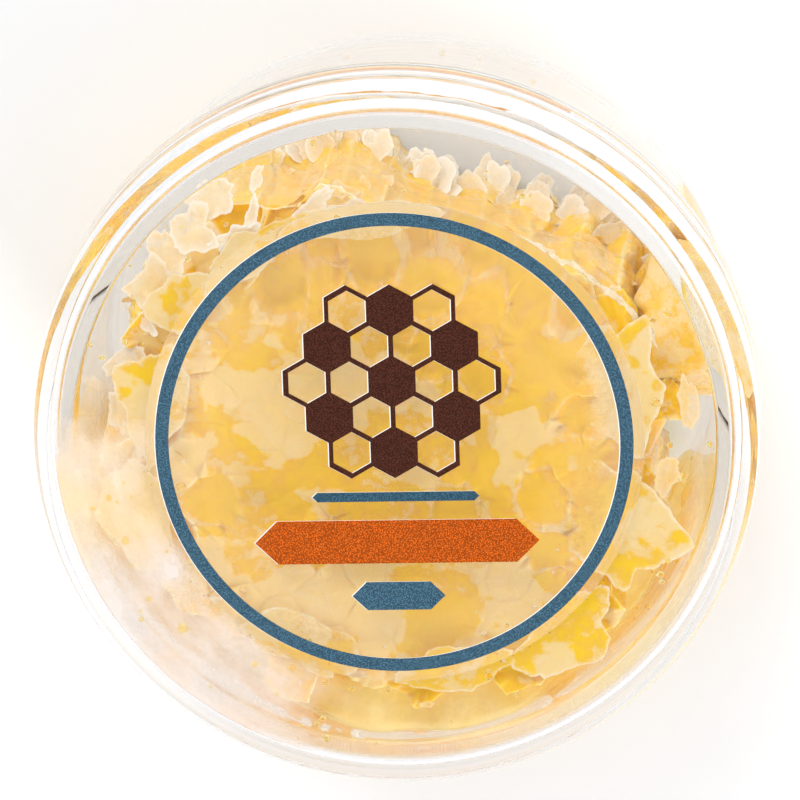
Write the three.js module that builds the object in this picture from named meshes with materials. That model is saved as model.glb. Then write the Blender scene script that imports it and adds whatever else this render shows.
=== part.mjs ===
// A piece of raw honeycomb in a shut, clear, round tub, with a clear printed label on its lid.
// Millimetres, +Z up. The origin is the middle of the tub's foot, and +Y is the top of the label.
import * as THREE from 'three';

// Tub base: a thick-walled round box that stands on a foot ring.
const totalHeight = 38;
const baseRimHeight = 36.3;
const baseFootRadius = 33.9;
const baseRimRadius = 34.3;
const baseInnerFloorRadius = 32.3;
const baseInnerRimRadius = 32.6;
const floorTop = 1.7;
const footRecess = 0.5;
const footRingInner = 27;
const baseCorner = 1.5;
const innerCorner = 1.2;
const rimRound = 0.4;

// Lid: a flat disc with a rounded shoulder and a deep skirt that slips over the base.
const lidShoulderRadius = 37;
const lidSkirtRadius = 37.3;
const lidFlatRadius = 35;
const lidShoulderDrop = 2.6;
const lidSkirtBottom = 27.5;
const lidThickness = 1.4;
const lidInnerRadius = 35.1;
const skirtRound = 0.35;

// Label and its print: a clear film, a plain ring and a few simple shapes.
const labelRadius = 25.4;
const filmThickness = 0.1;
const printThickness = 0.06;
const ringOuter = 24.3;
const ringInner = 22.95;
const emblemCell = 4.3;
const emblemLine = 0.5;
const emblemRings = 2;
const emblemHeight = 6.6;
const thinRule = { width: 17, height: 1, y: -5.6 };
const wideBand = { width: 29, height: 4.6, y: -10.4 };
const shortBar = { width: 9.5, height: 3, y: -16.2 };

// Honeycomb: hexagonal cells that stand upright between two wax faces.
const cellPitch = 5.3;
const latticeTurn = THREE.MathUtils.degToRad(-25);
const latticeSpan = 8;
const contentGap = 0.3;
const combTop = 35.2;
const combBottom = floorTop + contentGap;
const combReach = 31.6;
const honeySideReach = 30.2;
const cornerJitter = 0.55;
const heightJitter = 0.16;
const capBulge = { least: 0.2, spread: 0.7 };
const pitDepth = { least: 2.4, spread: 1.8 };
const faceWave = { height: 0.6, alongX: 9, alongY: 11 };
const underside = { level: 0.15, rise: 0.1, unevenness: 0.35 };
const wallSwell = { most: 0.75, levels: 9 };
// The far side is where y + slope * x passes the start. Its cells are torn low, and many are open.
const farSide = { slope: 0.45, start: 7, tornDrop: 7.5, openShare: 0.55 };
const nearOpenShare = 0.12;
// How much of a cell's width is left at each ring of its cap or pit, and the ring's share of the rise.
const topRings = [{ width: 0.8, share: 0.58 }, { width: 0.5, share: 0.95 }];
const undersideRings = [{ width: 0.6, share: 1 }];
// Corner points of the broken piece, which a smooth closed curve joins.
const combOutline = [
  [27.3, -1], [27, 5.5], [22, 11], [12, 15], [2, 19.5], [-6, 23.5], [-16, 22.5], [-24, 16],
  [-27, 6], [-28.5, -4], [-27, -12], [-19.5, -17], [-12, -25], [0, -28], [12, -26.5], [23, -18.5],
];
const outlineSteps = 160;

// Honey that has run out of the cells and stands against the tub's wall.
const honeyMiddle = THREE.MathUtils.degToRad(-84);
const honeyHalfAngle = THREE.MathUtils.degToRad(62);
const honeyOuter = baseInnerFloorRadius - contentGap;
const honeyInner = 30.6;
const honeyBottom = floorTop + innerCorner;
const honeyHeight = 30;
const honeyEndHeight = 1.5;
const honeyEndWidth = 0.35;
const honeyLip = 1.2;
const honeySteps = 36;

const turnSteps = 72;
const arcSteps = 4;

// Points of a quarter of an ellipse in the plane of radius and height.
function quarter([centreR, centreZ], [radiusR, radiusZ], from, to) {
  const points = [];
  for (let i = 0; i <= arcSteps; i += 1) {
    const angle = from + ((to - from) * i) / arcSteps;
    points.push([centreR + radiusR * Math.cos(angle), centreZ + radiusZ * Math.sin(angle)]);
  }
  return points;
}

// A turned solid about +Z. The profile runs from the axis, round the material, back to the axis.
function turned(profile) {
  const points = profile.map(([r, z]) => new THREE.Vector2(r, z));
  const geometry = new THREE.LatheGeometry(points, turnSteps);
  geometry.rotateX(Math.PI / 2);
  return geometry;
}

function baseGeometry() {
  const half = Math.PI / 2;
  const rim = [rimRound, rimRound];
  const rimZ = baseRimHeight - rimRound;
  return turned([
    [0, footRecess],
    [footRingInner, footRecess],
    [footRingInner + footRecess, 0],
    ...quarter([baseFootRadius - baseCorner, baseCorner], [baseCorner, baseCorner], -half, 0),
    ...quarter([baseRimRadius - rimRound, rimZ], rim, 0, half),
    ...quarter([baseInnerRimRadius + rimRound, rimZ], rim, half, 2 * half),
    ...quarter(
      [baseInnerFloorRadius - innerCorner, floorTop + innerCorner],
      [innerCorner, innerCorner],
      0,
      -half,
    ),
    [0, floorTop],
  ]);
}

function lidGeometry() {
  const half = Math.PI / 2;
  const ceiling = totalHeight - lidThickness;
  const shoulder = [lidShoulderRadius - lidFlatRadius, lidShoulderDrop];
  return turned([
    [0, ceiling],
    ...quarter([lidInnerRadius - innerCorner, ceiling - innerCorner], [innerCorner, innerCorner], half, 0),
    [lidInnerRadius, lidSkirtBottom + skirtRound],
    [lidInnerRadius + skirtRound, lidSkirtBottom],
    [lidSkirtRadius - skirtRound, lidSkirtBottom],
    [lidSkirtRadius, lidSkirtBottom + skirtRound],
    ...quarter([lidFlatRadius, totalHeight - lidShoulderDrop], shoulder, 0, half),
    [0, totalHeight],
  ]);
}

// A flat shape extruded upward from a height.
function flat(shape, bottom, thickness) {
  const geometry = new THREE.ExtrudeGeometry(shape, {
    depth: thickness,
    bevelEnabled: false,
    curveSegments: turnSteps,
  });
  geometry.translate(0, 0, bottom);
  return geometry;
}

function circlePath(path, radius) {
  path.absarc(0, 0, radius, 0, 2 * Math.PI, false);
  return path;
}

// A six-sided loop round a centre. A hole in a plate is the same loop.
function hexagon(path, centreX, centreY, radius) {
  for (let i = 0; i < 6; i += 1) {
    const angle = (Math.PI / 3) * i + Math.PI / 6;
    const x = centreX + radius * Math.cos(angle);
    const y = centreY + radius * Math.sin(angle);
    if (i === 0) path.moveTo(x, y);
    else path.lineTo(x, y);
  }
  path.closePath();
  return path;
}

// Steps from a hexagonal cell to its six neighbours, anticlockwise, along the two lattice directions.
const cellNeighbours = [[1, 0], [0, 1], [-1, 1], [-1, 0], [0, -1], [1, -1]];

// A hexagonal patch of cells, as steps along the two lattice directions.
function patchCells(rings) {
  const cells = [];
  for (let i = -rings; i <= rings; i += 1) {
    for (let j = -rings; j <= rings; j += 1) {
      if (Math.abs(i + j) <= rings) cells.push([i, j]);
    }
  }
  return cells;
}

// The line that runs round a patch of cells: their outer edges, joined end to end.
function patchOutline(cells, pitch) {
  const radius = pitch / Math.sqrt(3);
  const taken = new Set(cells.map(([i, j]) => `${i},${j}`));
  const edges = new Map();
  for (const [i, j] of cells) {
    cellNeighbours.forEach(([di, dj], k) => {
      if (taken.has(`${i + di},${j + dj}`)) return;
      const ends = [k, k + 1].map((n) => {
        const angle = (Math.PI / 3) * n - Math.PI / 6;
        const x = pitch * (i + j / 2) + radius * Math.cos(angle);
        const y = (pitch * j * Math.sqrt(3)) / 2 + radius * Math.sin(angle);
        return { x, y, key: `${Math.round(x * 100)},${Math.round(y * 100)}` };
      });
      edges.set(ends[0].key, ends);
    });
  }
  const outline = [];
  let [start, end] = edges.values().next().value;
  while (outline.length < edges.size) {
    outline.push(start);
    [start, end] = edges.get(end.key);
  }
  return outline;
}

// The emblem is one plate with a hexagonal hole for each open cell; every third cell stays solid.
function emblemShape() {
  const cells = patchCells(emblemRings);
  const grown = 1 + emblemLine / (emblemCell * 2 * emblemRings);
  const plate = new THREE.Shape();
  patchOutline(cells, emblemCell).forEach(({ x, y }, n) => {
    if (n === 0) plate.moveTo(x * grown, emblemHeight + y * grown);
    else plate.lineTo(x * grown, emblemHeight + y * grown);
  });
  plate.closePath();
  const holeRadius = (emblemCell - emblemLine) / Math.sqrt(3);
  for (const [i, j] of cells) {
    if ((i - j) % 3 !== 0) {
      const x = emblemCell * (i + j / 2);
      const y = emblemHeight + (emblemCell * j * Math.sqrt(3)) / 2;
      plate.holes.push(hexagon(new THREE.Path(), x, y, holeRadius));
    }
  }
  return plate;
}

// A bar with pointed ends.
function barShape({ width, height, y }) {
  const shape = new THREE.Shape();
  const point = height / 2;
  shape.moveTo(-width / 2, y);
  shape.lineTo(-width / 2 + point, y - height / 2);
  shape.lineTo(width / 2 - point, y - height / 2);
  shape.lineTo(width / 2, y);
  shape.lineTo(width / 2 - point, y + height / 2);
  shape.lineTo(-width / 2 + point, y + height / 2);
  shape.closePath();
  return shape;
}

// The same value between 0 and 1 for the same two numbers, each time the part is made.
function grain(a, b) {
  const value = Math.sin(a * 127.1 + b * 311.7 + 74.7) * 43758.5453;
  return value - Math.floor(value);
}

// The comb's outline as a closed list of points.
function outlinePoints() {
  const corners = combOutline.map(([x, y]) => new THREE.Vector3(x, y, 0));
  return new THREE.CatmullRomCurve3(corners, true, 'centripetal').getPoints(outlineSteps);
}

function insideOutline(outline, x, y) {
  let inside = false;
  for (let i = 0, j = outline.length - 1; i < outline.length; j = i, i += 1) {
    const a = outline[i];
    const b = outline[j];
    const crosses = a.y > y !== b.y > y;
    if (crosses && x < ((b.x - a.x) * (y - a.y)) / (b.y - a.y) + a.x) inside = !inside;
  }
  return inside;
}

function distanceToOutline(outline, x, y) {
  return Math.min(...outline.map((point) => Math.hypot(point.x - x, point.y - y)));
}

// A point moved inward where it would pass the comb's reach, which is less where the honey stands.
function pulledIn(x, y) {
  const fromHoney = Math.abs(Math.atan2(y, x) - honeyMiddle);
  const reach = fromHoney < honeyHalfAngle ? honeySideReach : combReach;
  const radius = Math.hypot(x, y);
  return radius > reach ? [(x * reach) / radius, (y * reach) / radius] : [x, y];
}

// The gentle roll of the wax face over the whole piece.
function faceHeight(x, y) {
  const wave = Math.sin(x / faceWave.alongX + 0.6) * Math.cos(y / faceWave.alongY - 0.4);
  return combTop + faceWave.height * (wave - 0.4);
}

// Every cell of the comb: its centre, how much of its top is torn away and whether it is open.
function combCells() {
  const outline = outlinePoints();
  const cos = Math.cos(latticeTurn);
  const sin = Math.sin(latticeTurn);
  const cells = new Map();
  for (let i = -latticeSpan; i <= latticeSpan; i += 1) {
    for (let j = -latticeSpan; j <= latticeSpan; j += 1) {
      const u = cellPitch * (i + j / 2);
      const v = (cellPitch * j * Math.sqrt(3)) / 2;
      const x = u * cos - v * sin;
      const y = u * sin + v * cos;
      if (insideOutline(outline, x, y)) {
        const isFar = y + farSide.slope * x > farSide.start;
        const onEdge = distanceToOutline(outline, x, y) < cellPitch;
        const torn = isFar && onEdge ? farSide.tornDrop * grain(i, j) : 0;
        const open = grain(j + 31, i - 17) < (isFar ? farSide.openShare : nearOpenShare);
        cells.set(`${i},${j}`, { i, j, x, y, torn, open });
      }
    }
  }
  return cells;
}

// The neighbour of a cell on side k, if the comb has one there.
function neighbour(cells, cell, k) {
  const [di, dj] = cellNeighbours[k % 6];
  return cells.get(`${cell.i + di},${cell.j + dj}`);
}

// The comb as one closed skin: cell tops, cell undersides, and a rough wall round the outside.
function combGeometry() {
  const cells = combCells();
  const positions = [];
  const triangles = [];

  const addPoint = (x, y, z) => {
    positions.push(x, y, z);
    return positions.length / 3 - 1;
  };

  // Corner k of a cell lies between its neighbours k - 1 and k, which share it.
  const corners = new Map();
  const cornerOf = (cell, k) => {
    const angle = latticeTurn + (Math.PI / 3) * k - Math.PI / 6;
    const x = cell.x + (cellPitch / Math.sqrt(3)) * Math.cos(angle);
    const y = cell.y + (cellPitch / Math.sqrt(3)) * Math.sin(angle);
    const key = `${Math.round(x * 10)},${Math.round(y * 10)}`;
    if (!corners.has(key)) {
      const sharing = [cell, neighbour(cells, cell, k + 5), neighbour(cells, cell, k)].filter(Boolean);
      const torn = sharing.reduce((sum, one) => sum + one.torn, 0) / sharing.length;
      const chance = (seed) => 2 * grain(Math.round(x * 3) + seed, Math.round(y * 3)) - 1;
      const [px, py] = pulledIn(x + cornerJitter * chance(1), y + cornerJitter * chance(2));
      const topZ = faceHeight(x, y) - torn + heightJitter * chance(3);
      const top = addPoint(px, py, topZ);
      const bottom = addPoint(px, py, combBottom + underside.unevenness * grain(x, y));
      corners.set(key, { x: px, y: py, topZ, top, bottom });
    }
    return corners.get(key);
  };

  // One side of a cell: rings of points inside its corners, and a middle that is raised or sunk.
  const addSide = (cell, ring, { start, level, rise, rings, flip }) => {
    const join = (a, b, c) => triangles.push(...(flip ? [a, c, b] : [a, b, c]));
    let outer = start;
    for (const { width, share } of rings) {
      const inner = ring.map((corner) => addPoint(
        cell.x + (corner.x - cell.x) * width,
        cell.y + (corner.y - cell.y) * width,
        (flip ? level : corner.topZ) * (1 - share) + (level + rise) * share,
      ));
      for (let k = 0; k < 6; k += 1) {
        const next = (k + 1) % 6;
        join(outer[k], outer[next], inner[k]);
        join(outer[next], inner[next], inner[k]);
      }
      outer = inner;
    }
    const middle = addPoint(cell.x, cell.y, level + rise);
    for (let k = 0; k < 6; k += 1) join(outer[k], outer[(k + 1) % 6], middle);
  };

  // Corners on the outside are kept with the direction that they face.
  const outward = new Map();
  const wallEdges = [];
  for (const cell of cells.values()) {
    const ring = [0, 1, 2, 3, 4, 5].map((k) => cornerOf(cell, k));
    const chance = grain(cell.j, cell.i);
    const cap = capBulge.least + capBulge.spread * chance;
    const pit = pitDepth.least + pitDepth.spread * chance;
    addSide(cell, ring, {
      start: ring.map((corner) => corner.top),
      level: ring.reduce((sum, corner) => sum + corner.topZ, 0) / 6,
      rise: cell.open ? -pit : cap,
      rings: topRings,
      flip: false,
    });
    addSide(cell, ring, {
      start: ring.map((corner) => corner.bottom),
      level: combBottom + underside.level,
      rise: underside.rise,
      rings: undersideRings,
      flip: true,
    });
    for (let k = 0; k < 6; k += 1) {
      if (!neighbour(cells, cell, k)) {
        const angle = latticeTurn + (Math.PI / 3) * k;
        const ends = [ring[k], ring[(k + 1) % 6]];
        wallEdges.push(ends);
        for (const corner of ends) {
          const facing = outward.get(corner) ?? new THREE.Vector2();
          outward.set(corner, facing.add(new THREE.Vector2(Math.cos(angle), Math.sin(angle))));
        }
      }
    }
  }

  // The wall hangs between each corner's top and bottom point and swells by an uneven amount.
  const columns = new Map();
  for (const [corner, facing] of outward) {
    facing.normalize();
    const column = [corner.bottom];
    for (let n = 1; n < wallSwell.levels; n += 1) {
      const share = n / wallSwell.levels;
      const chance = grain(corner.x * 7 + n, corner.y * 5 - n);
      const swell = wallSwell.most * chance * Math.sin(Math.PI * share);
      const [x, y] = pulledIn(corner.x + facing.x * swell, corner.y + facing.y * swell);
      column.push(addPoint(x, y, combBottom + (corner.topZ - combBottom) * share));
    }
    column.push(corner.top);
    columns.set(corner, column);
  }
  for (const [from, to] of wallEdges) {
    const left = columns.get(from);
    const right = columns.get(to);
    for (let n = 0; n < wallSwell.levels; n += 1) {
      triangles.push(left[n], right[n], right[n + 1]);
      triangles.push(left[n], right[n + 1], left[n + 1]);
    }
  }
  return skin(positions, triangles);
}

// A closed skin from point coordinates and the triangles that join them.
function skin(positions, triangles) {
  const geometry = new THREE.BufferGeometry();
  geometry.setAttribute('position', new THREE.Float32BufferAttribute(positions, 3));
  geometry.setIndex(triangles);
  return geometry;
}

// Joins four-cornered sections into one solid, closed by its first and last section.
function lofted(sections) {
  const positions = sections.flat(2);
  const triangles = [];
  const count = sections[0].length;
  for (let s = 0; s + 1 < sections.length; s += 1) {
    for (let k = 0; k < count; k += 1) {
      const a = s * count + k;
      const b = s * count + ((k + 1) % count);
      triangles.push(a, a + count, b + count, a, b + count, b);
    }
  }
  const last = (sections.length - 1) * count;
  for (let k = 1; k + 1 < count; k += 1) {
    triangles.push(0, k, k + 1);
    triangles.push(last, last + k + 1, last + k);
  }
  return skin(positions, triangles);
}

// The honey is a crescent between comb and wall, tallest in its middle.
function honeyGeometry() {
  const sections = [];
  for (let s = 0; s <= honeySteps; s += 1) {
    const share = (2 * s) / honeySteps - 1;
    const angle = honeyMiddle + honeyHalfAngle * share;
    const fullness = Math.sqrt(Math.cos((Math.PI / 2) * share));
    const inner = honeyOuter - honeyEndWidth - (honeyOuter - honeyEndWidth - honeyInner) * fullness;
    const top = honeyBottom + honeyEndHeight + (honeyHeight - honeyEndHeight) * fullness;
    const cos = Math.cos(angle);
    const sin = Math.sin(angle);
    const lip = Math.min(honeyLip, (top - honeyBottom) / 3);
    sections.push([
      [inner * cos, inner * sin, honeyBottom],
      [honeyOuter * cos, honeyOuter * sin, honeyBottom],
      [honeyOuter * cos, honeyOuter * sin, top],
      [inner * cos, inner * sin, top - lip],
    ]);
  }
  return lofted(sections);
}

const clearPlastic = () => new THREE.MeshStandardMaterial({
  color: '#f2f3f2',
  roughness: 0.06,
  metalness: 0,
  transparent: true,
  opacity: 0.35,
});
const print = (color) => new THREE.MeshStandardMaterial({ color, roughness: 0.5, metalness: 0 });

const part = new THREE.Group();

function add(name, geometry, material) {
  const mesh = new THREE.Mesh(geometry, material);
  mesh.name = name;
  part.add(mesh);
}

const filmTop = totalHeight + filmThickness;
const ringShape = circlePath(new THREE.Shape(), ringOuter);
ringShape.holes.push(circlePath(new THREE.Path(), ringInner));

add('tub_base', baseGeometry(), clearPlastic());
add('tub_lid', lidGeometry(), clearPlastic());
add('honeycomb', combGeometry(), new THREE.MeshStandardMaterial({ color: '#f3c766', roughness: 0.4 }));
add('honey', honeyGeometry(), new THREE.MeshStandardMaterial({ color: '#f2a41c', roughness: 0.1 }));
add('label', flat(circlePath(new THREE.Shape(), labelRadius), totalHeight, filmThickness), clearPlastic());
add('label_ring', flat(ringShape, filmTop, printThickness), print('#3c5f78'));
add('label_emblem', flat(emblemShape(), filmTop, printThickness), print('#4f2d1f'));
add('label_thin_rule', flat(barShape(thinRule), filmTop, printThickness), print('#27485f'));
add('label_wide_band', flat(barShape(wideBand), filmTop, printThickness), print('#cc5a16'));
add('label_short_bar', flat(barShape(shortBar), filmTop, printThickness), print('#3c5f78'));

export default part;
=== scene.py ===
import math

import bpy
import numpy as np
from mathutils import Matrix, Vector
from mathutils.bvhtree import BVHTree


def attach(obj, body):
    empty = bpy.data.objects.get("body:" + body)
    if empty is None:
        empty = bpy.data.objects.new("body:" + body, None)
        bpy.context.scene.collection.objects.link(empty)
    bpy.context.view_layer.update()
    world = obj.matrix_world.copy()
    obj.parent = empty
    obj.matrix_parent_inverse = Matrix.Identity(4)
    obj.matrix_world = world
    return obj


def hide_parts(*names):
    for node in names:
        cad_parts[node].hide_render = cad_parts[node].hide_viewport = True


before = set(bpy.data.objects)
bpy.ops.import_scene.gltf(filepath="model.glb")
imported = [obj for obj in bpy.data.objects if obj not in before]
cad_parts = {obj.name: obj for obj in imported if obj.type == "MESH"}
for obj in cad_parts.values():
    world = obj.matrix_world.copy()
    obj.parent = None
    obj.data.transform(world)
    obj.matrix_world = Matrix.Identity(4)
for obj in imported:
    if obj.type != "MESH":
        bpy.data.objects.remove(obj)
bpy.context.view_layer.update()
mm = 0.001
print("frame loaded with", len(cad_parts), "nodes")


# a repeatable value between 0 and 1 for the same numbers
def grain(a, b, c=0.0):
    value = np.sin(a * 127.1 + b * 311.7 + c * 53.9 + 74.7) * 43758.5453
    return value - np.floor(value)


# smooth noise between -1 and 1 at points in mm, with bumps about one size across
def softNoise(points, size, seed):
    points = np.atleast_2d(np.asarray(points, float))
    if points.shape[1] == 2:
        points = np.column_stack([points, np.zeros(len(points))])
    spot = points / size + np.array([7.13, 3.71, 5.37]) * seed
    base = np.floor(spot)
    part = spot - base
    part = part * part * (3 - 2 * part)
    total = np.zeros(len(points))
    for corner in np.ndindex(2, 2, 2):
        weight = np.abs(1 - np.array(corner) - part).prod(axis=1)
        total += weight * grain(*(base + corner).T)
    return total * 2 - 1


# two or three sizes of noise on top of each other
def roughNoise(points, size, seed, layers=3):
    total = 0
    for layer in range(layers):
        total = total + softNoise(points, size / 2 ** layer, seed + layer) * 0.55 ** layer
    return total


def smoothStep(low, high, value):
    share = np.clip((value - low) / (high - low), 0, 1)
    return share * share * (3 - 2 * share)


# makes a mesh object from points in mm; points on the same spot become one
def makePiece(name, points, quads, triangles=(), fields=None, weld=True):
    points = np.asarray(points, float)
    quads = np.asarray(quads, int).reshape(-1, 4)
    triangles = np.asarray(triangles, int).reshape(-1, 3)
    fields = fields or {}
    if weld:
        keys = np.round(points * 500).astype(np.int64)
        _, first, where = np.unique(keys, axis=0, return_index=True, return_inverse=True)
        where = where.ravel()
        points = points[first]
        fields = {key: values[first] for key, values in fields.items()}
        quads, triangles = where[quads], where[triangles]
    faces = [list(dict.fromkeys(face)) for face in quads.tolist() + triangles.tolist()]
    faces = [face for face in faces if len(face) > 2]
    mesh = bpy.data.meshes.new(name)
    mesh.from_pydata((points * mm).tolist(), [], faces)
    for key, values in fields.items():
        layer = mesh.attributes.new(key, "FLOAT", "POINT")
        layer.data.foreach_set("value", np.asarray(values, np.float32))
    mesh.validate()
    mesh.update()
    mesh.shade_smooth()
    piece = bpy.data.objects.new(name, mesh)
    bpy.context.scene.collection.objects.link(piece)
    print("made", name, "with", len(mesh.polygons), "faces")
    return piece


# quads between neighbouring rows of a grid of points, where the last column may join the first
def gridQuads(rows, columns, closed=True, start=0):
    spans = columns if closed else columns - 1
    row, column = np.meshgrid(np.arange(rows - 1), np.arange(spans), indexing="ij")
    beside = (column + 1) % columns
    here, above = row * columns, (row + 1) * columns
    corners = [here + column, here + beside, above + beside, above + column]
    return np.stack(corners, -1).reshape(-1, 4) + start


def settle(piece, material, slot, *nodes):
    piece.data.materials.append(material)
    if nodes:
        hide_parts(*nodes)
    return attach(piece, "root")


# puts sheets or lumps together; each has points, faces and a value a point, and one tone all over
def joined(parts):
    columns = [], [], [], []
    count = 0
    for (spots, faces, shares), tone in parts:
        for column, values in zip(columns, (spots, faces + count, shares, np.full(len(spots), tone))):
            column.append(values)
        count += len(spots)
    return [np.concatenate(column) for column in columns]


def onCircle(angle, radius):
    return radius * math.cos(angle), radius * math.sin(angle)


# the same colour, darker or lighter
def tinted(colour, share, more=0):
    return [min(1, c * share + more) for c in colour]


def treeOf(mesh):
    corners = [v.co.copy() for v in mesh.vertices]
    return BVHTree.FromPolygons(corners, [tuple(p.vertices) for p in mesh.polygons])


# height in mm of what lies under a place, or miss beside it
def heightAt(tree, x, y, miss=None):
    wellAbove = 60
    spot = tree.ray_cast(Vector((x, y, wellAbove)) * mm, Vector((0, 0, -1)))[0]
    return spot.z / mm if spot else miss


# lets lamps and soft bounced light pass a clear wall without a look at its material
def openToLight(piece):
    piece.visible_shadow = False
    piece.visible_diffuse = False
    return piece


# a short way to lay out one material's nodes
class Shader:
    lostAfter = 8             # a ray that is trapped for longer goes straight out

    def __init__(self, name):
        self.material = bpy.data.materials.new(name)
        self.material.use_nodes = True
        self.tree = self.material.node_tree
        self.surface = self.tree.nodes["Principled BSDF"]
        self.output = self.tree.nodes["Material Output"]

    def add(self, kind, values=None, **settings):
        node = self.tree.nodes.new(kind)
        for key, value in settings.items():
            setattr(node, key, value)
        for key, value in (values or {}).items():
            self.put(node.inputs[key], value)
        return node

    def put(self, socket, value):
        if isinstance(value, bpy.types.NodeSocket):
            self.tree.links.new(value, socket)
        else:
            socket.default_value = value

    def finish(self, **values):
        for key, value in values.items():
            self.put(self.surface.inputs[key.replace("_", " ")], value)
        return self.material

    # lets lamps and soft bounced light reach what is behind the glass
    def letLightIn(self, colour, most=1.0):
        path = self.add("ShaderNodeLightPath").outputs
        share = self.math("MAXIMUM", path["Is Shadow Ray"], path["Is Diffuse Ray"])
        if most < 1:
            share = self.math("MULTIPLY", share, most)
        share = self.math("MAXIMUM", share, self.math("GREATER_THAN", path["Ray Depth"], self.lostAfter))
        through = self.add("ShaderNodeBsdfTransparent", {"Color": (*colour, 1)})
        mixed = self.add("ShaderNodeMixShader", {0: share, 1: self.surface.outputs[0], 2: through.outputs[0]})
        self.put(self.output.inputs["Surface"], mixed.outputs[0])

    def place(self):
        return self.add("ShaderNodeTexCoord").outputs["Object"]

    # the same place, with its marks drawn out or squeezed up and down
    def drawn(self, place, upright):
        return self.add("ShaderNodeMapping", {"Vector": place, "Scale": (1, 1, upright)}).outputs[0]

    def noise(self, place, size, detail=3.0, roughness=0.55):
        values = {"Vector": place, "Scale": 1 / (size * mm), "Detail": detail, "Roughness": roughness}
        return self.add("ShaderNodeTexNoise", values).outputs["Fac"]

    def cells(self, place, size, feature="F1"):
        values = {"Vector": place, "Scale": 1 / (size * mm)}
        return self.add("ShaderNodeTexVoronoi", values, feature=feature).outputs["Distance"]

    def attribute(self, name):
        return self.add("ShaderNodeAttribute", attribute_name=name).outputs["Fac"]

    def math(self, operation, *values):
        node = self.add("ShaderNodeMath", operation=operation)
        for socket, value in zip(node.inputs, values):
            self.put(socket, value)
        return node.outputs[0]

    # moves a value up and down by noise
    def sway(self, value, noise, most):
        return self.math("MULTIPLY_ADD", self.math("SUBTRACT", noise, 0.5), most, value)

    def spread(self, value, low, high, toLow=0.0, toHigh=1.0):
        values = {"Value": value, "From Min": low, "From Max": high, "To Min": toLow, "To Max": toHigh}
        return self.add("ShaderNodeMapRange", values, interpolation_type="SMOOTHSTEP").outputs["Result"]

    def mix(self, share, first, second):
        node = self.add("ShaderNodeMix", data_type="RGBA")
        self.put(node.inputs["Factor"], share)
        for socket, colour in ((node.inputs[6], first), (node.inputs[7], second)):
            self.put(socket, colour if isinstance(colour, bpy.types.NodeSocket) else (*colour, 1))
        return node.outputs[2]

    def bump(self, height, strength, distance):
        values = {"Height": height, "Strength": strength, "Distance": distance * mm}
        return self.add("ShaderNodeBump", values).outputs["Normal"]


shot = {
    "target": (0.75, 4.61, 38.0),
    "distance": 750,
    "tilt": 17.13,        # off straight down
    "towards": 12.58,     # from +Y round to +X
    "roll": -1.88,
    "lens": 333.4,
    "sensor": 36,
}


def makeCamera():
    tilt, towards, roll = (math.radians(shot[key]) for key in ("tilt", "towards", "roll"))
    back = Vector((math.sin(tilt) * math.sin(towards), math.sin(tilt) * math.cos(towards), math.cos(tilt)))
    side = (-back).cross(Vector((0, 1, 0))).normalized()
    up = side.cross(-back)
    right = side * math.cos(roll) + up * math.sin(roll)
    above = up * math.cos(roll) - side * math.sin(roll)
    turn = Matrix((right, above, back)).transposed().to_4x4()
    turn.translation = (Vector(shot["target"]) + back * shot["distance"]) * mm
    data = bpy.data.cameras.new("studioCamera")
    data.lens = shot["lens"]
    data.sensor_width = shot["sensor"]
    data.clip_start = 0.05
    data.clip_end = 20
    camera = bpy.data.objects.new("studioCamera", data)
    camera.matrix_world = turn
    bpy.context.scene.collection.objects.link(camera)
    bpy.context.scene.camera = camera


light = {
    "skyTop": 1.03,
    "skyLow": 1.1,
    "skyBand": 0.97,          # a dimmer band above the horizon, which draws the edges of clear plastic
    "bandHeight": (0.12, 0.55),
    "zenith": 0.15,           # a dark ceiling, so that the flat lid shows no haze
    "zenithHeight": (0.84, 0.92),
    "coolness": 1.005,
    "keyPower": 7.4,
    "keyPlace": (-0.35, 0.95, 0.8),
    "keySize": 0.55,
    "fillPower": 6.8,
    "fillPlace": (0.65, -0.75, 0.75),
    "fillSize": 0.5,
    # light crosses many clear walls here
    "cycles": {
        "max_bounces": 16, "transmission_bounces": 14, "transparent_max_bounces": 20,
        "glossy_bounces": 8, "diffuse_bounces": 3, "use_light_tree": False,
        "caustics_reflective": False, "caustics_refractive": False,
    },
}


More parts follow.
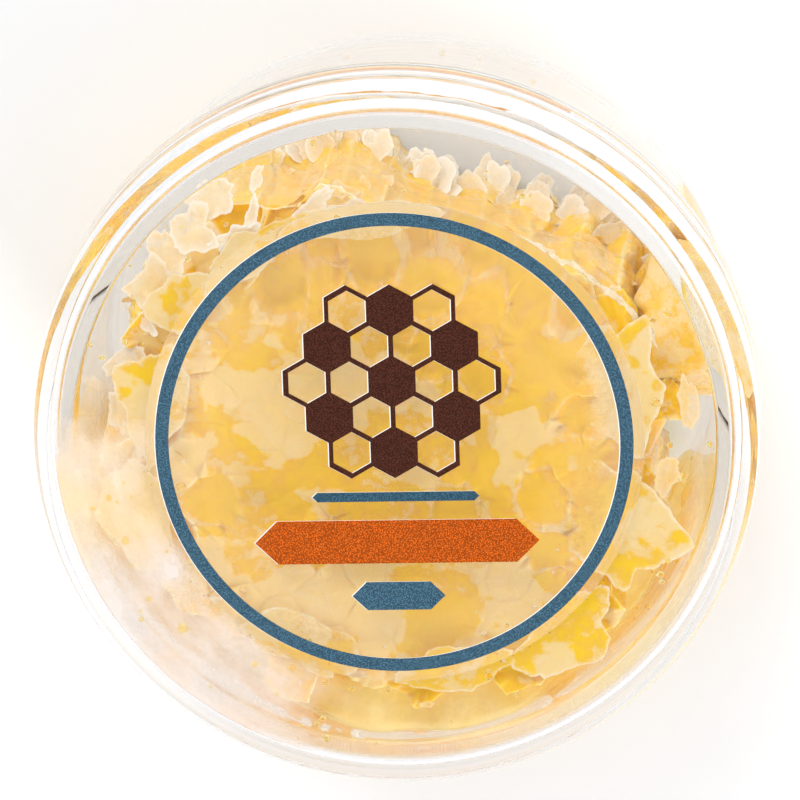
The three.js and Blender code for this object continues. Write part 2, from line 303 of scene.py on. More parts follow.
def makeLight():
    world = bpy.data.worlds.new("studioSky")
    world.use_nodes = True
    tree = world.node_tree
    place = tree.nodes.new("ShaderNodeTexCoord")
    split = tree.nodes.new("ShaderNodeSeparateXYZ")
    ramp = tree.nodes.new("ShaderNodeValToRGB")
    tree.links.new(place.outputs["Generated"], split.inputs[0])
    tree.links.new(split.outputs["Z"], ramp.inputs["Fac"])
    low, high = light["bandHeight"]
    stops = [(0.0, light["skyLow"]), (low, light["skyLow"])]
    stops += [((low + high) / 2, light["skyBand"]), (high, light["skyTop"])]
    stops += zip(light["zenithHeight"], (light["skyTop"], light["zenith"]))
    ramp.color_ramp.interpolation = "EASE"
    while len(ramp.color_ramp.elements) < len(stops):
        ramp.color_ramp.elements.new(0.5)
    for element, (height, level) in zip(ramp.color_ramp.elements, stops):
        element.position = height
        element.color = (level, level, level * light["coolness"], 1)
    tree.links.new(ramp.outputs["Color"], tree.nodes["Background"].inputs["Color"])
    bpy.context.scene.world = world
    for name in ("key", "fill"):
        lamp = bpy.data.lights.new(name + "Softbox", "AREA")
        lamp.energy = light[name + "Power"]
        lamp.size = light[name + "Size"]
        box = bpy.data.objects.new(name + "Softbox", lamp)
        box.location = light[name + "Place"]
        box.rotation_euler = (-Vector(box.location)).to_track_quat("-Z", "Y").to_euler()
        box.visible_transmission = False          # keeps the lamps' own images out of the clear walls
        box.visible_glossy = False
        bpy.context.scene.collection.objects.link(box)
    scene = bpy.context.scene
    scene.view_settings.view_transform = "Standard"
    for key, value in light["cycles"].items():
        setattr(scene.cycles, key, value)


floorLook = {"radius": 2600, "rings": 26, "steps": 96, "colour": (0.88, 0.907, 0.945)}


def makeFloor():
    angles = np.linspace(0, 2 * math.pi, floorLook["steps"], endpoint=False)
    radii = floorLook["radius"] * np.linspace(0.002, 1, floorLook["rings"]) ** 2
    points = [(r * math.cos(a), r * math.sin(a), 0) for r in radii for a in angles]
    count = floorLook["steps"]
    quads = gridQuads(len(radii), count)
    middle = [(k, (k + 1) % count, len(points)) for k in range(count)]
    floor = makePiece("studioFloor", points + [(0, 0, 0)], quads, middle)
    look = Shader("paleFloor")
    place = look.place()
    fleck = look.noise(place, 9)
    colour = look.mix(look.spread(fleck, 0.3, 0.7), floorLook["colour"], tinted(floorLook["colour"], 0.995))
    floor.data.materials.append(look.finish(Base_Color=colour, Roughness=0.7, Specular_IOR_Level=0.1))


makeCamera()
makeLight()
makeFloor()
print("camera, light and floor are set")


plastic = {
    "index": 1.56,
    "colour": (0.965, 0.967, 0.97),
    "roughness": 0.008,
    "scratch": 0.03,
    "scuffSize": 0.9,
    "ripple": 0.016,
    "swirlSize": 14,          # slow flow marks of the moulding, in mm
    "dragSize": 5,
    "lostAfter": 3,
}


def makePlastic():
    look = Shader("clearPolystyrene")
    look.lostAfter = plastic["lostAfter"]
    place = look.place()
    swirl = look.noise(place, plastic["swirlSize"], detail=2)
    drag = look.noise(look.drawn(place, 9), plastic["dragSize"], detail=1.5)
    scuff = look.spread(look.noise(place, plastic["scuffSize"], detail=6, roughness=0.7), 0.55, 0.8)
    height = look.math("MULTIPLY_ADD", drag, 0.25, swirl)
    normal = look.bump(height, plastic["ripple"], 1.2)
    rough = look.spread(scuff, 0, 1, plastic["roughness"], plastic["scratch"])
    colour = look.mix(look.spread(swirl, 0.35, 0.65), plastic["colour"], tinted(plastic["colour"], 0.985))
    look.letLightIn((0.97, 0.97, 0.97))
    return look.finish(
        Base_Color=colour, Roughness=rough, Normal=normal, IOR=plastic["index"], Transmission_Weight=1.0,
    )


tub = {
    "footRadius": 33.9, "rimRadius": 34.3, "innerFloor": 32.3, "innerRim": 32.6, "rimHeight": 36.3,
    "floorTop": 1.7, "recess": 0.5, "footRing": 27, "corner": 1.5, "innerCorner": 1.2, "rimRound": 0.4,
    "steps": 576,
}
lid = {
    "height": 38, "flatRadius": 35, "shoulderRadius": 37, "shoulderDrop": 2.6, "skirtRadius": 37.3,
    "skirtBottom": 27.5, "thickness": 1.4, "innerRadius": 35.1, "innerCorner": 1.2, "skirtRound": 0.35,
    "steps": 576,
}


# a rounded corner of a profile, as high as it is wide unless it says otherwise
def arc(centreR, centreZ, radius, start, end, steps=8, high=None):
    angles = np.radians(np.linspace(start, end, steps + 1))
    return [(centreR + radius * math.cos(a), centreZ + (high or radius) * math.sin(a)) for a in angles]


def straight(start, end, steps):
    shares = np.arange(1, steps) / steps
    return [(start[0] + (end[0] - start[0]) * s, start[1] + (end[1] - start[1]) * s) for s in shares]


# spins a profile that starts and ends on the axis
def spun(name, profile, steps):
    ring = [(r, z) for r, z in profile if r > 0]
    angles = np.linspace(0, 2 * math.pi, steps, endpoint=False)
    points = [(r * math.cos(a), r * math.sin(a), z) for r, z in ring for a in angles]
    first, last = len(points), len(points) + 1
    points += [(0, 0, profile[0][1]), (0, 0, profile[-1][1])]
    end = (len(ring) - 1) * steps
    triangles = [(first, (k + 1) % steps, k) for k in range(steps)]
    triangles += [(last, end + k, end + (k + 1) % steps) for k in range(steps)]
    return makePiece(name, points, gridQuads(len(ring), steps), triangles, weld=False)


def makeBase(material):
    t = tub
    rimZ = t["rimHeight"] - t["rimRound"]
    outer = [(t["footRadius"], t["corner"]), (t["rimRadius"], rimZ)]
    inner = [(t["innerRim"], rimZ), (t["innerFloor"], t["floorTop"] + t["innerCorner"])]
    profile = [(0, t["recess"]), (9, t["recess"]), (20, t["recess"]), (t["footRing"] - 0.4, t["recess"])]
    profile += arc(t["footRing"] - 0.2, 0.25, 0.25, 90, 0, 4)
    profile += [(t["footRing"] + 0.2, 0), (t["footRing"] + 2.5, 0)]
    profile += arc(t["footRadius"] - t["corner"], t["corner"], t["corner"], -90, 0, 10)
    profile += straight(*outer, 12)
    profile += arc(t["rimRadius"] - t["rimRound"], rimZ, t["rimRound"], 0, 90)
    profile += arc(t["innerRim"] + t["rimRound"], rimZ, t["rimRound"], 90, 180)
    profile += straight(*inner, 12)
    floorZ = t["floorTop"] + t["innerCorner"]
    profile += arc(t["innerFloor"] - t["innerCorner"], floorZ, t["innerCorner"], 0, -90, 10)
    profile += [(24, t["floorTop"]), (12, t["floorTop"]), (0, t["floorTop"])]
    settle(openToLight(spun("clearTub", profile, t["steps"])), material, "clear_plastic", "tub_base")


def makeLid(material):
    t = lid
    ceiling = t["height"] - t["thickness"]
    low = t["skirtBottom"] + t["skirtRound"]
    shoulderZ = t["height"] - t["shoulderDrop"]
    profile = [(0, ceiling), (12, ceiling), (25, ceiling)]
    cornerZ = ceiling - t["innerCorner"]
    profile += arc(t["innerRadius"] - t["innerCorner"], cornerZ, t["innerCorner"], 90, 0, 10)
    profile += straight((t["innerRadius"], cornerZ), (t["innerRadius"], low), 6)
    profile += arc(t["innerRadius"] + t["skirtRound"], low, t["skirtRound"], 180, 270, 5)
    profile += arc(t["skirtRadius"] - t["skirtRound"], low, t["skirtRound"], 270, 360, 5)
    profile += straight((t["skirtRadius"], low), (t["shoulderRadius"], shoulderZ), 6)
    wide = t["shoulderRadius"] - t["flatRadius"]
    profile += arc(t["flatRadius"], shoulderZ, wide, 0, 90, 14, t["shoulderDrop"])
    profile += [(30, t["height"]), (22, t["height"]), (11, t["height"]), (0, t["height"])]
    settle(openToLight(spun("clearLid", profile, t["steps"])), material, "clear_plastic", "tub_lid")


clearPlastic = makePlastic()
makeBase(clearPlastic)
makeLid(clearPlastic)


comb = {
    "pitch": 5.3,
    "turn": -25,
    "span": 8,
    "cornerJitter": 0.55,
    "reach": 31.6,
    "honeySideReach": 30.2,
    "honeyMiddle": -84,
    "honeyHalf": 62,
    "edgeSteps": 10,
    "edgeWobble": 0.34,
    "slowDrift": 0.95,        # sideways wander, so that no cell is a clean hexagon
    "quickDrift": 0.32,
    "lumps": 0.38,            # slow rise and fall of the whole top
    "capRise": 0.6,           # share left of the caps' rise where the lid has pressed them
    "valley": 0.05,
    "freeValley": 0.42,       # valleys between the caps that the lid does not press
    "dryStep": 0.24,          # how far dry wax stands above wax that honey has soaked
    "ragged": 0.9,
    "raggedLift": 0.15,
    "cornerRagged": 0.6,
    "pitShare": 0.5,          # share left of a pit's depth, the rest is filled
    "pressedPitShare": 0.06,
    "farSlope": 0.45,         # the side that was cut through lies beyond y + slope * x
    "farStart": 6.0,
    "wallLevels": 46,
    "wallSwell": 1.15,
    "footFlare": 0.75,
    "waist": 0.9,
    "toothDepth": 1.6,        # the far side's corners are worn back from this far inside its outline
    "toothCut": 0.6,
    "floorGap": 0.3,
    "highest": 36.35,
}
# how wide each ring of a cell is, and its share of the rise or of the depth
capRings = [(1, 0), (0.965, 0.16), (0.92, 0.36), (0.86, 0.56), (0.78, 0.74), (0.68, 0.86)]
capRings += [(0.56, 0.94), (0.43, 0.98), (0.29, 1), (0.14, 1), (0, 1)]
pitRings = [(1, 0), (0.97, 0.0), (0.94, 0.02), (0.905, 0.07), (0.87, 0.2), (0.835, 0.42)]
pitRings += [(0.8, 0.68), (0.75, 0.88), (0.62, 0.98), (0.34, 1.02), (0, 1.04)]
neighbourSteps = [(1, 0), (0, 1), (-1, 1), (-1, 0), (0, -1), (1, -1)]

packedComb = treeOf(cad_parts["honeycomb"].data)


def pulledIn(spot):
    offset = abs(math.degrees(math.atan2(spot[1], spot[0])) - comb["honeyMiddle"])
    reach = comb["honeySideReach"] if offset < comb["honeyHalf"] else comb["reach"]
    radius = math.hypot(*spot)
    return spot * reach / radius if radius > reach else spot


def readCells():
    turn = math.radians(comb["turn"])
    along = np.array([math.cos(turn), math.sin(turn)])
    across = np.array([-math.sin(turn), math.cos(turn)])
    cells = {}
    for i in range(-comb["span"], comb["span"] + 1):
        for j in range(-comb["span"], comb["span"] + 1):
            middle = comb["pitch"] * ((i + j / 2) * along + j * math.sqrt(3) / 2 * across)
            height = heightAt(packedComb, *middle)
            if height is not None:
                cells[i, j] = {"at": (i, j), "middle": middle, "height": height}
    corners = {}
    for cell in cells.values():
        cell["corners"] = []
        for k in range(6):
            angle = turn + math.pi / 3 * k - math.pi / 6
            plain = cell["middle"] + comb["pitch"] / math.sqrt(3) * np.array(onCircle(angle, 1))
            key = (round(plain[0] * 10), round(plain[1] * 10))
            if key not in corners:
                dx, dy = (2 * grain(round(plain[0] * 3) + n, round(plain[1] * 3)) - 1 for n in (1, 2))
                spot = pulledIn(plain + comb["cornerJitter"] * np.array([dx, dy]))
                height = heightAt(packedComb, *(spot + (cell["middle"] - spot) * 0.02))
                corners[key] = {"spot": spot, "height": height or cell["height"], "key": key}
            cell["corners"].append(corners[key])
        cell["rim"] = np.mean([corner["height"] for corner in cell["corners"]])
        cell["open"] = cell["height"] < cell["rim"] - 1
    return cells


cells = readCells()
combMiddle = np.mean([cell["middle"] for cell in cells.values()], axis=0)
print("the comb has", len(cells), "cells,", sum(cell["open"] for cell in cells.values()), "of them open")


def neighbourOf(cell, k):
    i, j = cell["at"]
    di, dj = neighbourSteps[k % 6]
    return cells.get((i + di, j + dj))


# tears the corners where an open cell meets them, so that the walls' crests rise and fall
def tearCorners():
    for cell in cells.values():
        for k in range(6):
            other = neighbourOf(cell, k)
            if cell["open"] or other is None or other["open"]:
                for corner in (cell["corners"][k], cell["corners"][(k + 1) % 6]):
                    if "torn" not in corner:
                        corner["torn"] = True
                        drop = float(softNoise([corner["spot"]], 1.4, 7)[0])
                        corner["height"] += comb["cornerRagged"] * drop


tearCorners()


# places where the comb is full of honey: x, y and how wide
honeyRich = [
    (-10.4, 26, 4.2), (-9, 28.3, 2.6), (-4.4, 26.2, 2), (8.3, 24.7, 3), (4.2, 26, 2),
    (14.3, 21.9, 2.2), (18.7, 18.7, 2.2), (23.2, 16.6, 3), (27.2, 14.9, 3.6), (28.1, 8.1, 2.6),
    (29.3, 3.3, 2), (24.3, 11.6, 1.8), (14.6, -3.8, 3), (16.6, -7, 3.6), (7.4, -8, 2.4),
    (20.7, -7.1, 2.2), (2.9, -20.8, 3), (22.4, -16.9, 2), (18.2, -22.8, 2), (8.8, -27.6, 3),
    (-20.3, 19.6, 2), (-19.6, -3.3, 2.2), (-17.7, -8.7, 2.2), (-14.3, 14.6, 1.8), (-10, -7.7, 2.2),
    (-4.9, -7.8, 2.2), (17, 8.9, 2.2),
]


def richness(flat):
    total = 0
    for x, y, wide in honeyRich:
        total = total + np.exp(-((flat[:, 0] - x) ** 2 + (flat[:, 1] - y) ** 2) / (0.6 * wide) ** 2)
    return np.minimum(total, 1)


# 1 in the middle, where the lid has pressed the comb smooth
def isPressed(flat):
    return 1 - smoothStep(22, 27, np.hypot(flat[:, 0] - 3.2, flat[:, 1] + 2.8))


def isFarSide(flat, wide=2.5):
    beyond = flat[:, 1] + comb["farSlope"] * flat[:, 0] - comb["farStart"]
    return smoothStep(-wide, wide, beyond)


# 1 along the wall where the honey stands, 0 elsewhere
def isHoneySide(flat):
    away = np.abs(np.degrees(np.arctan2(flat[:, 1], flat[:, 0])) - comb["honeyMiddle"])
    return 1 - smoothStep(0, 9, away - comb["honeyHalf"])


# where the comb ends up after it has been squeezed into the tub
def squeezed(points, honeySideReach=comb["honeySideReach"]):
    points = np.array(points, float)
    flat = points[:, :2].copy()
    points[:, 2] += comb["lumps"] * softNoise(flat, 7.5, 131) * smoothStep(8, 30, points[:, 2])
    over = np.maximum(0, points[:, 2] - comb["highest"] + 0.4)
    points[:, 2] -= over * over / (over + 0.4)
    slow = np.column_stack([softNoise(flat, 8.5, seed) for seed in (101, 103)])
    quick = np.column_stack([softNoise(flat, 2.6, seed) for seed in (105, 107)])
    points[:, :2] += comb["slowDrift"] * slow + comb["quickDrift"] * quick
    fromMiddle = points[:, :2] - combMiddle
    out = np.hypot(*fromMiddle.T)
    even = evenRadius(np.arctan2(fromMiddle[:, 1], fromMiddle[:, 0]))
    over = np.maximum(0, out - even + comb["toothDepth"])
    worn = comb["toothCut"] * smoothStep(15, 21, flat[:, 1]) * (1 - smoothStep(14, 21, flat[:, 0]))
    points[:, :2] -= fromMiddle * (worn * over / np.maximum(out, 1))[:, None]
    reach = comb["reach"] + (honeySideReach - comb["reach"]) * isHoneySide(flat)
    radius = np.hypot(*points[:, :2].T)
    points[:, :2] *= np.minimum(1, reach / np.maximum(radius, 1))[:, None]
    return points


# how dry the wax is: honey has soaked the parts below zero
def dryness(flat):
    return roughNoise(flat, 4.6, 111, 4) - 0.012 * (flat[:, 0] + 4) - 0.5 * richness(flat)


# points along one side of a cell, from corner k to corner k + 1, with heights and how torn the wax is
def sideLine(cell, k):
    start, end = cell["corners"][k], cell["corners"][(k + 1) % 6]
    other = neighbourOf(cell, k)
    share = np.arange(comb["edgeSteps"])[:, None] / comb["edgeSteps"]
    plain = start["spot"] + (end["spot"] - start["spot"]) * share
    swing = np.sin(math.pi * share)
    wobble = np.column_stack([softNoise(plain, 1.9, 3), softNoise(plain, 1.9, 5)])
    line = plain + wobble * comb["edgeWobble"] * swing
    height = start["height"] + (end["height"] - start["height"]) * share[:, 0]
    torn = cell["open"] or other is None or other["open"]
    lift = swing[:, 0] ** 0.6
    if torn:
        height = height + lift * (comb["raggedLift"] + comb["ragged"] * roughNoise(plain, 1.1, 11))
    else:
        valley = comb["freeValley"] + (comb["valley"] - comb["freeValley"]) * isPressed(plain)
        height = height - lift * valley * (1 + softNoise(plain, 2.0, 17))
    return line, height, np.full(len(line), float(torn))


# one cell's top, from its outline in to its middle: heights, stain, dryness and tear at each point
def cellTop(cell, line, edge, torn):
    middle = cell["middle"]
    i, j = cell["at"]
    chance = float(grain(j, i))
    tone = float(grain(i + 5, j + 9))
    pressed = float(isPressed(np.array([middle]))[0])
    rise = cell["height"] - cell["rim"]
    if cell["open"]:
        rise *= comb["pitShare"] + (comb["pressedPitShare"] - comb["pitShare"]) * pressed
    else:
        rise *= comb["capRise"] * (1 - 0.7 * pressed)
    angles = np.arctan2(line[:, 1] - middle[1], line[:, 0] - middle[0])
    radius = np.hypot(*(line - middle).T).mean() * 0.985
    rows = []
    for width, share in pitRings if cell["open"] else capRings:
        bend = smoothStep(0.0, 0.3, 1 - width) * 0.8
        circle = radius * np.column_stack([np.cos(angles), np.sin(angles)])
        flat = middle + ((line - middle) * (1 - bend) + circle * bend) * width
        fade = max(0.0, 1 - (1 - width) * (3.2 if cell["open"] else 1.8))
        z = cell["rim"] + (edge - cell["rim"]) * fade + rise * share
        inside = 1 - width ** 6
        dry = dryness(flat)
        if cell["open"]:
            z = z + inside * 0.22 * roughNoise(flat, 1.6, 21, 2)
            stain = 0.3 + 0.75 * smoothStep(0.1, 0.7, share) + 0.3 * softNoise(flat, 1.8, 23)
            tear = np.full(len(line), (0.55 - 0.45 * pressed) * (1 - smoothStep(0.02, 0.3, share)))
            dry = dry * 0.3 - 0.6 * smoothStep(0.0, 0.15, share)
        else:
            dent = -0.5 * (chance > 0.55) * math.exp(-(width / 0.55) ** 2) * (1 - 0.7 * pressed)
            z = z + inside * (0.17 * softNoise(flat, 2.1, 31) + 0.09 * roughNoise(flat, 0.9, 33, 2) + dent)
            z = z + comb["dryStep"] * smoothStep(-0.05, 0.1, dry) * inside * (1 - 0.6 * pressed)
            rimShare = smoothStep(0.74, 1.0, width)
            stain = 0.4 + 0.35 * (tone - 0.5) + 0.55 * roughNoise(flat, 3.4, 41)
            stain = stain + (0.5 - 0.45 * pressed) * rimShare
            stain = stain + 0.008 * (flat[:, 0] + 4) + 0.55 * richness(flat) + 0.2 * pressed
            tear = torn * smoothStep(0.93, 1.0, width) * (0.8 - 0.7 * pressed)
            dry = dry + 0.2 * (tone - 0.5) - 0.25 * rimShare * (1 - torn) * (1 - 0.8 * pressed)
        rows.append(np.column_stack([flat, z, stain, dry, tear]))
    return np.array(rows)


combOutline = {}


# how far the comb reaches from its middle, for each direction
def combRadius(angles):
    if not combOutline:
        free = [(cell, k) for cell in cells.values() for k in range(6) if not neighbourOf(cell, k)]
        spots = [sideLine(cell, k)[0] for cell, k in free]
        spots = np.concatenate(spots) - combMiddle
        combOutline["angles"], combOutline["radii"] = np.arctan2(spots[:, 1], spots[:, 0]), np.hypot(*spots.T)
    away = np.angle(np.exp(1j * (combOutline["angles"][None, :] - np.asarray(angles)[:, None])))
    weight = np.exp(-(away / np.radians(4.5)) ** 2)
    return (weight * combOutline["radii"]).sum(axis=1) / weight.sum(axis=1)


def evenRadius(angles):
    around = np.radians(np.arange(-180, 181, 2))
    if "even" not in combOutline:
        combOutline["even"] = combRadius(around)
    return np.interp(angles, around, combOutline["even"])


# a rough side from a cell's top edge down to its underside, where no neighbour stands
def cellSide(top, low):
    outward = top[:, :2] - combMiddle
    outward /= np.hypot(*outward.T)[:, None]
    swing = np.sin(math.pi * np.arange(len(top)) / (len(top) - 1))
    far = isFarSide(top[:, :2])
    rows = []
    for level in range(comb["wallLevels"] + 1):
        share = level / comb["wallLevels"]
        spot = top + (low - top) * share
        z = spot[:, 2]
        free = math.sin(math.pi * share) ** 0.5
        slow = softNoise(spot * [1, 1, 0.4], 3.6, 61)
        fine = roughNoise(spot * [1, 1, 0.5], 1.7, 63)
        lump = 0.6 - 1.6 * np.abs(softNoise(spot * [1, 1, 0.36], 2.9, 65))
        flare = comb["footFlare"] * (1 - smoothStep(6, 13, z + 3 * slow))
        flare = flare - comb["waist"] * smoothStep(8, 15, z + 3 * slow)
        swell = comb["wallSwell"] * (0.7 * slow + 0.45 * fine + 0.6 * lump * smoothStep(9, 16, z))
        push = free * (swell + far * flare)
        fromMiddle = spot[:, :2] - combMiddle
        smooth = combRadius(np.arctan2(fromMiddle[:, 1], fromMiddle[:, 0]))
        even = far * free * (0.4 + 0.45 * softNoise(spot * [1, 1, 0.3], 6.5, 67))
        even = even * (1 - 0.4 * smoothStep(18, 28, z))
        push = push + (smooth - np.hypot(*fromMiddle.T)) * even
        spot[:, :2] += outward * push[:, None]
        pale = 1 - smoothStep(5, 13, z + 4 * slow)
        stain = 0.75 - 0.3 * slow + 0.3 * fine - 0.8 * pale - 0.15 * (1 - swing) ** 3 + 0.3 * richness(spot)
        dry = -0.35 + 0.35 * fine + 0.55 * pale * (0.5 + slow)
        tear = 0.35 * (1 - swing) ** 4 + 0.55 * smoothStep(0.25, 0.7, fine) * pale
        rows.append(np.column_stack([spot, stain, dry, tear]))
    return np.array(rows)


def makeWax(material):
    points, quads = [], []
    steps = comb["edgeSteps"] * 6
    bottomZ = tub["floorTop"] + comb["floorGap"]
    count = 0

    def addRows(rows, closed, flip):
        nonlocal count
        grid = gridQuads(rows.shape[0], rows.shape[1], closed, count)
        quads.append(grid[:, ::-1] if flip else grid)
        points.append(rows.reshape(-1, 6))
        count += rows.shape[0] * rows.shape[1]

    for cell in cells.values():
        sides = [sideLine(cell, k) for k in range(6)]
        line, edge, torn = (np.concatenate([side[n] for side in sides]) for n in range(3))
        addRows(cellTop(cell, line, edge, torn), True, False)
        under = []
        for width in (1, 0.6, 0):
            flat = cell["middle"] + (line - cell["middle"]) * width
            z = bottomZ + 0.12 + 0.1 * softNoise(flat, 2.0, 51) + 0.1 * (1 - width)
            under.append(np.column_stack([flat, z, np.full(steps, 0.5), np.zeros(steps), np.zeros(steps)]))
        addRows(np.array(under), True, True)
        for k in range(6):
            if not neighbourOf(cell, k):
                span = np.arange(k * comb["edgeSteps"], (k + 1) * comb["edgeSteps"] + 1) % steps
                top = np.column_stack([line[span], edge[span]])
                addRows(cellSide(top, under[0][span, :3]), False, True)
    points = np.concatenate(points)
    fields = {"stain": np.clip(points[:, 3], 0, 1), "dry": points[:, 4], "torn": np.clip(points[:, 5], 0, 1)}
    piece = makePiece("waxComb", squeezed(points[:, :3]), np.concatenate(quads), (), fields)
    settle(piece, material, "comb_wax", "honeycomb")
    return piece


wax = {
    "cream": (0.85, 0.6, 0.235),
    "golden": (0.86, 0.52, 0.045),
    "soaked": (0.89, 0.57, 0.018),
    "dry": (0.86, 0.66, 0.34),
    "white": (0.94, 0.89, 0.78),
    "glow": 0.8,              # how far light travels inside, in mm
    "index": 1.44,
    "shine": {"Coat_Weight": 0.3, "Coat_Roughness": 0.12},
}


# wax for the comb, or with its own cover for thin sheets
def makeWaxLook(name, sheet=False):
    look = Shader(name)
    place = look.place()
    upright = look.drawn(place, 0.36)                          # cells run up and down
    patch = look.noise(upright, 2.1, detail=5, roughness=0.6)
    fleck = look.noise(upright, 0.7, detail=4, roughness=0.65)
    ragged = look.noise(upright, 1.6, detail=8, roughness=0.72)
    share = look.sway(look.attribute("stain"), patch, 3.0)
    share = look.sway(share, fleck, 1.1)
    golden = look.mix(look.spread(share, 0.1, 0.46), wax["cream"], wax["golden"])
    soaked = look.mix(look.spread(share, 0.46, 0.95), golden, wax["soaked"])
    dry = look.sway(look.attribute("dry"), ragged, 0.9)
    colour = look.mix(look.spread(dry, -0.06, 0.14, 0.0, 0.75), soaked, wax["dry"])
    torn = look.math("MULTIPLY", look.attribute("torn"), look.spread(fleck, 0.3, 0.62, 0.3, 1.0))
    colour = look.mix(torn, colour, wax["white"])
    swell = look.math("MULTIPLY", patch, 0.8)
    crumple = look.math("MULTIPLY_ADD", look.noise(place, 0.55, detail=5), 0.6, swell)
    normal = look.bump(crumple, 0.45, 0.3)
    rough = look.spread(dry, -0.1, 0.2, 0.24, 0.5)
    if sheet:
        cover = look.sway(look.attribute("cover"), ragged, 1.2)
        look.put(look.surface.inputs["Alpha"], look.spread(cover, 0.1, 0.8, 0.0, 0.88))
        look.letLightIn((0.99, 0.93, 0.78), 0.5)
    return look.finish(
        Base_Color=colour, Roughness=rough, Normal=normal, IOR=wax["index"], **wax["shine"],
        Subsurface_Weight=0.0 if sheet else 0.85, Subsurface_Radius=(1.0, 0.72, 0.3),
        Subsurface_Scale=wax["glow"] * mm,
    )


waxComb = makeWax(makeWaxLook("wetBeeswax"))


# fine crystals and wax dust give honey a body colour of its own
honeyLook = {
    "body": (1.0, 0.82, 0.3),
    "bodyPale": (1.0, 0.87, 0.45),
    "tint": (1.0, 0.95, 0.16),
    "index": 1.49,
    "shade": (1.0, 0.965, 0.8),
}


def makeHoneyLook(name, clear, density, body=honeyLook["body"], pale=honeyLook["bodyPale"]):
    look = Shader(name)
    place = look.place()
    swell = look.noise(place, 4, detail=2)
    normal = look.bump(swell, 0.12, 0.6)
    cloud = look.spread(look.noise(place, 5, detail=4), 0.35, 0.65)
    colour = look.mix(cloud, body, pale)
    clear = look.spread(look.noise(place, 2.2, detail=5), 0.35, 0.75, clear + 0.06, clear - 0.12)
    rough = look.spread(look.noise(place, 1.2), 0.4, 0.7, 0.01, 0.06)
    depth = look.add("ShaderNodeVolumeAbsorption", {"Color": (*honeyLook["tint"], 1), "Density": density})
    look.put(look.output.inputs["Volume"], depth.outputs[0])
    look.letLightIn(honeyLook["shade"])
    return look.finish(
        Base_Color=colour, Roughness=rough, Normal=normal, IOR=honeyLook["index"], Transmission_Weight=clear,
    )


cellHoney = {
    "drop": 0.75, "dropWave": 0.5, "inset": 0.5, "farInset": -0.35, "footInset": 1.5, "sideWave": 0.75,
    "around": 300, "rings": 50, "levels": 44, "reach": 2.4,
    "honeySideReach": 27.3,
}


# level of the cells' rims, smoothed over neighbouring cells
def rimLevel(flat):
    total = np.zeros(len(flat))
    weights = np.full(len(flat), 1e-9)
    for cell in cells.values():
        away = np.hypot(*(flat - cell["middle"]).T)
        weight = np.exp(-(away / cellHoney["reach"]) ** 2)
        total += weight * cell["rim"]
        weights += weight
    return total / weights


def makeCellHoney(material):
    settings = cellHoney
    angles = np.linspace(0, 2 * math.pi, settings["around"], endpoint=False)
    radius = combRadius(angles)
    way = np.column_stack([np.cos(angles), np.sin(angles)])
    bottomZ = tub["floorTop"] + comb["floorGap"] + 0.5
    rows = []
    edge = combMiddle + way * (radius - settings["inset"])[:, None]
    far = isFarSide(edge, 4)
    edgeTop = rimLevel(edge) - settings["drop"] - 0.9
    for level in range(settings["levels"]):
        share = level / settings["levels"]
        z = bottomZ + (edgeTop - bottomZ) * share
        spot = np.column_stack([edge, z])
        slow = softNoise(spot * [1, 1, 0.5], 4.2, 71)
        push = settings["sideWave"] * (slow + 0.35 * softNoise(spot, 1.7, 73)) - 0.25
        coat = (settings["farInset"] - settings["footInset"]) * smoothStep(8, 14, z + 3 * slow)
        coat = settings["footInset"] + coat
        inset = settings["inset"] + (coat - settings["inset"]) * far
        crown = 1.2 * max(0, 1 - (1 - share) * settings["levels"] / 4) ** 2
        spot[:, :2] = combMiddle + way * (radius - inset + push - crown)[:, None]
        rows.append(spot)
    lastRadius = np.hypot(*(rows[-1][:, :2] - combMiddle).T)
    for ring in range(settings["rings"] + 1):
        width = 1 - ring / settings["rings"]
        flat = combMiddle + way * (lastRadius * width)[:, None]
        wave = softNoise(flat, 6.0, 81)
        z = rimLevel(flat) - settings["drop"] + settings["dropWave"] * wave + 0.05 * softNoise(flat, 1.3, 83)
        pool = richness(flat) * (1 - 0.85 * isPressed(flat))
        z += pool * (1.0 + 0.25 * softNoise(flat, 2.2, 85))
        z -= 0.9 * smoothStep(0.93, 1.0, width)
        rows.append(np.column_stack([flat, z]))
    base = rows[0].copy()
    for width in (0.66, 0.33, 0):
        ring = base.copy()
        ring[:, :2] = combMiddle + (base[:, :2] - combMiddle) * width
        rows.insert(0, ring)
    count = len(rows)
    points = squeezed(np.array(rows).reshape(-1, 3), settings["honeySideReach"])
    piece = makePiece("cellHoney", points, gridQuads(count, settings["around"]))
    settle(piece, material, "honey")


wallHoney = {
    "name": "wallHoney", "middle": -84, "half": 62, "inner": 27.6, "into": 0.12, "bottom": 2.0,
    "height": 30, "endHeight": 1.5, "endWidth": 0.4, "steps": 200, "rows": 22, "creep": 1.3,
    "uneven": 0.06, "wave": 0.35, "crown": 7, "stain": 0.3,
}
rightHoney = {
    "name": "rightHoney", "middle": 13, "half": 18, "inner": 25.6, "into": 0.12, "bottom": 2.0,
    "height": 31.6, "endHeight": 1.2, "endWidth": 0.6, "steps": 110, "rows": 26, "creep": 0.4,
    "uneven": 0.3, "wave": 1.5, "crown": 7, "stain": 0.3,
}


def wallRadius(z):
    low, high = tub["floorTop"] + tub["innerCorner"], tub["rimHeight"] - tub["rimRound"]
    share = np.clip((z - low) / (high - low), 0, 1)
    corner = np.clip((low - z) / tub["innerCorner"], 0, 1)
    upper = tub["innerFloor"] + (tub["innerRim"] - tub["innerFloor"]) * share
    return upper - tub["innerCorner"] * (1 - np.sqrt(1 - corner ** 2))


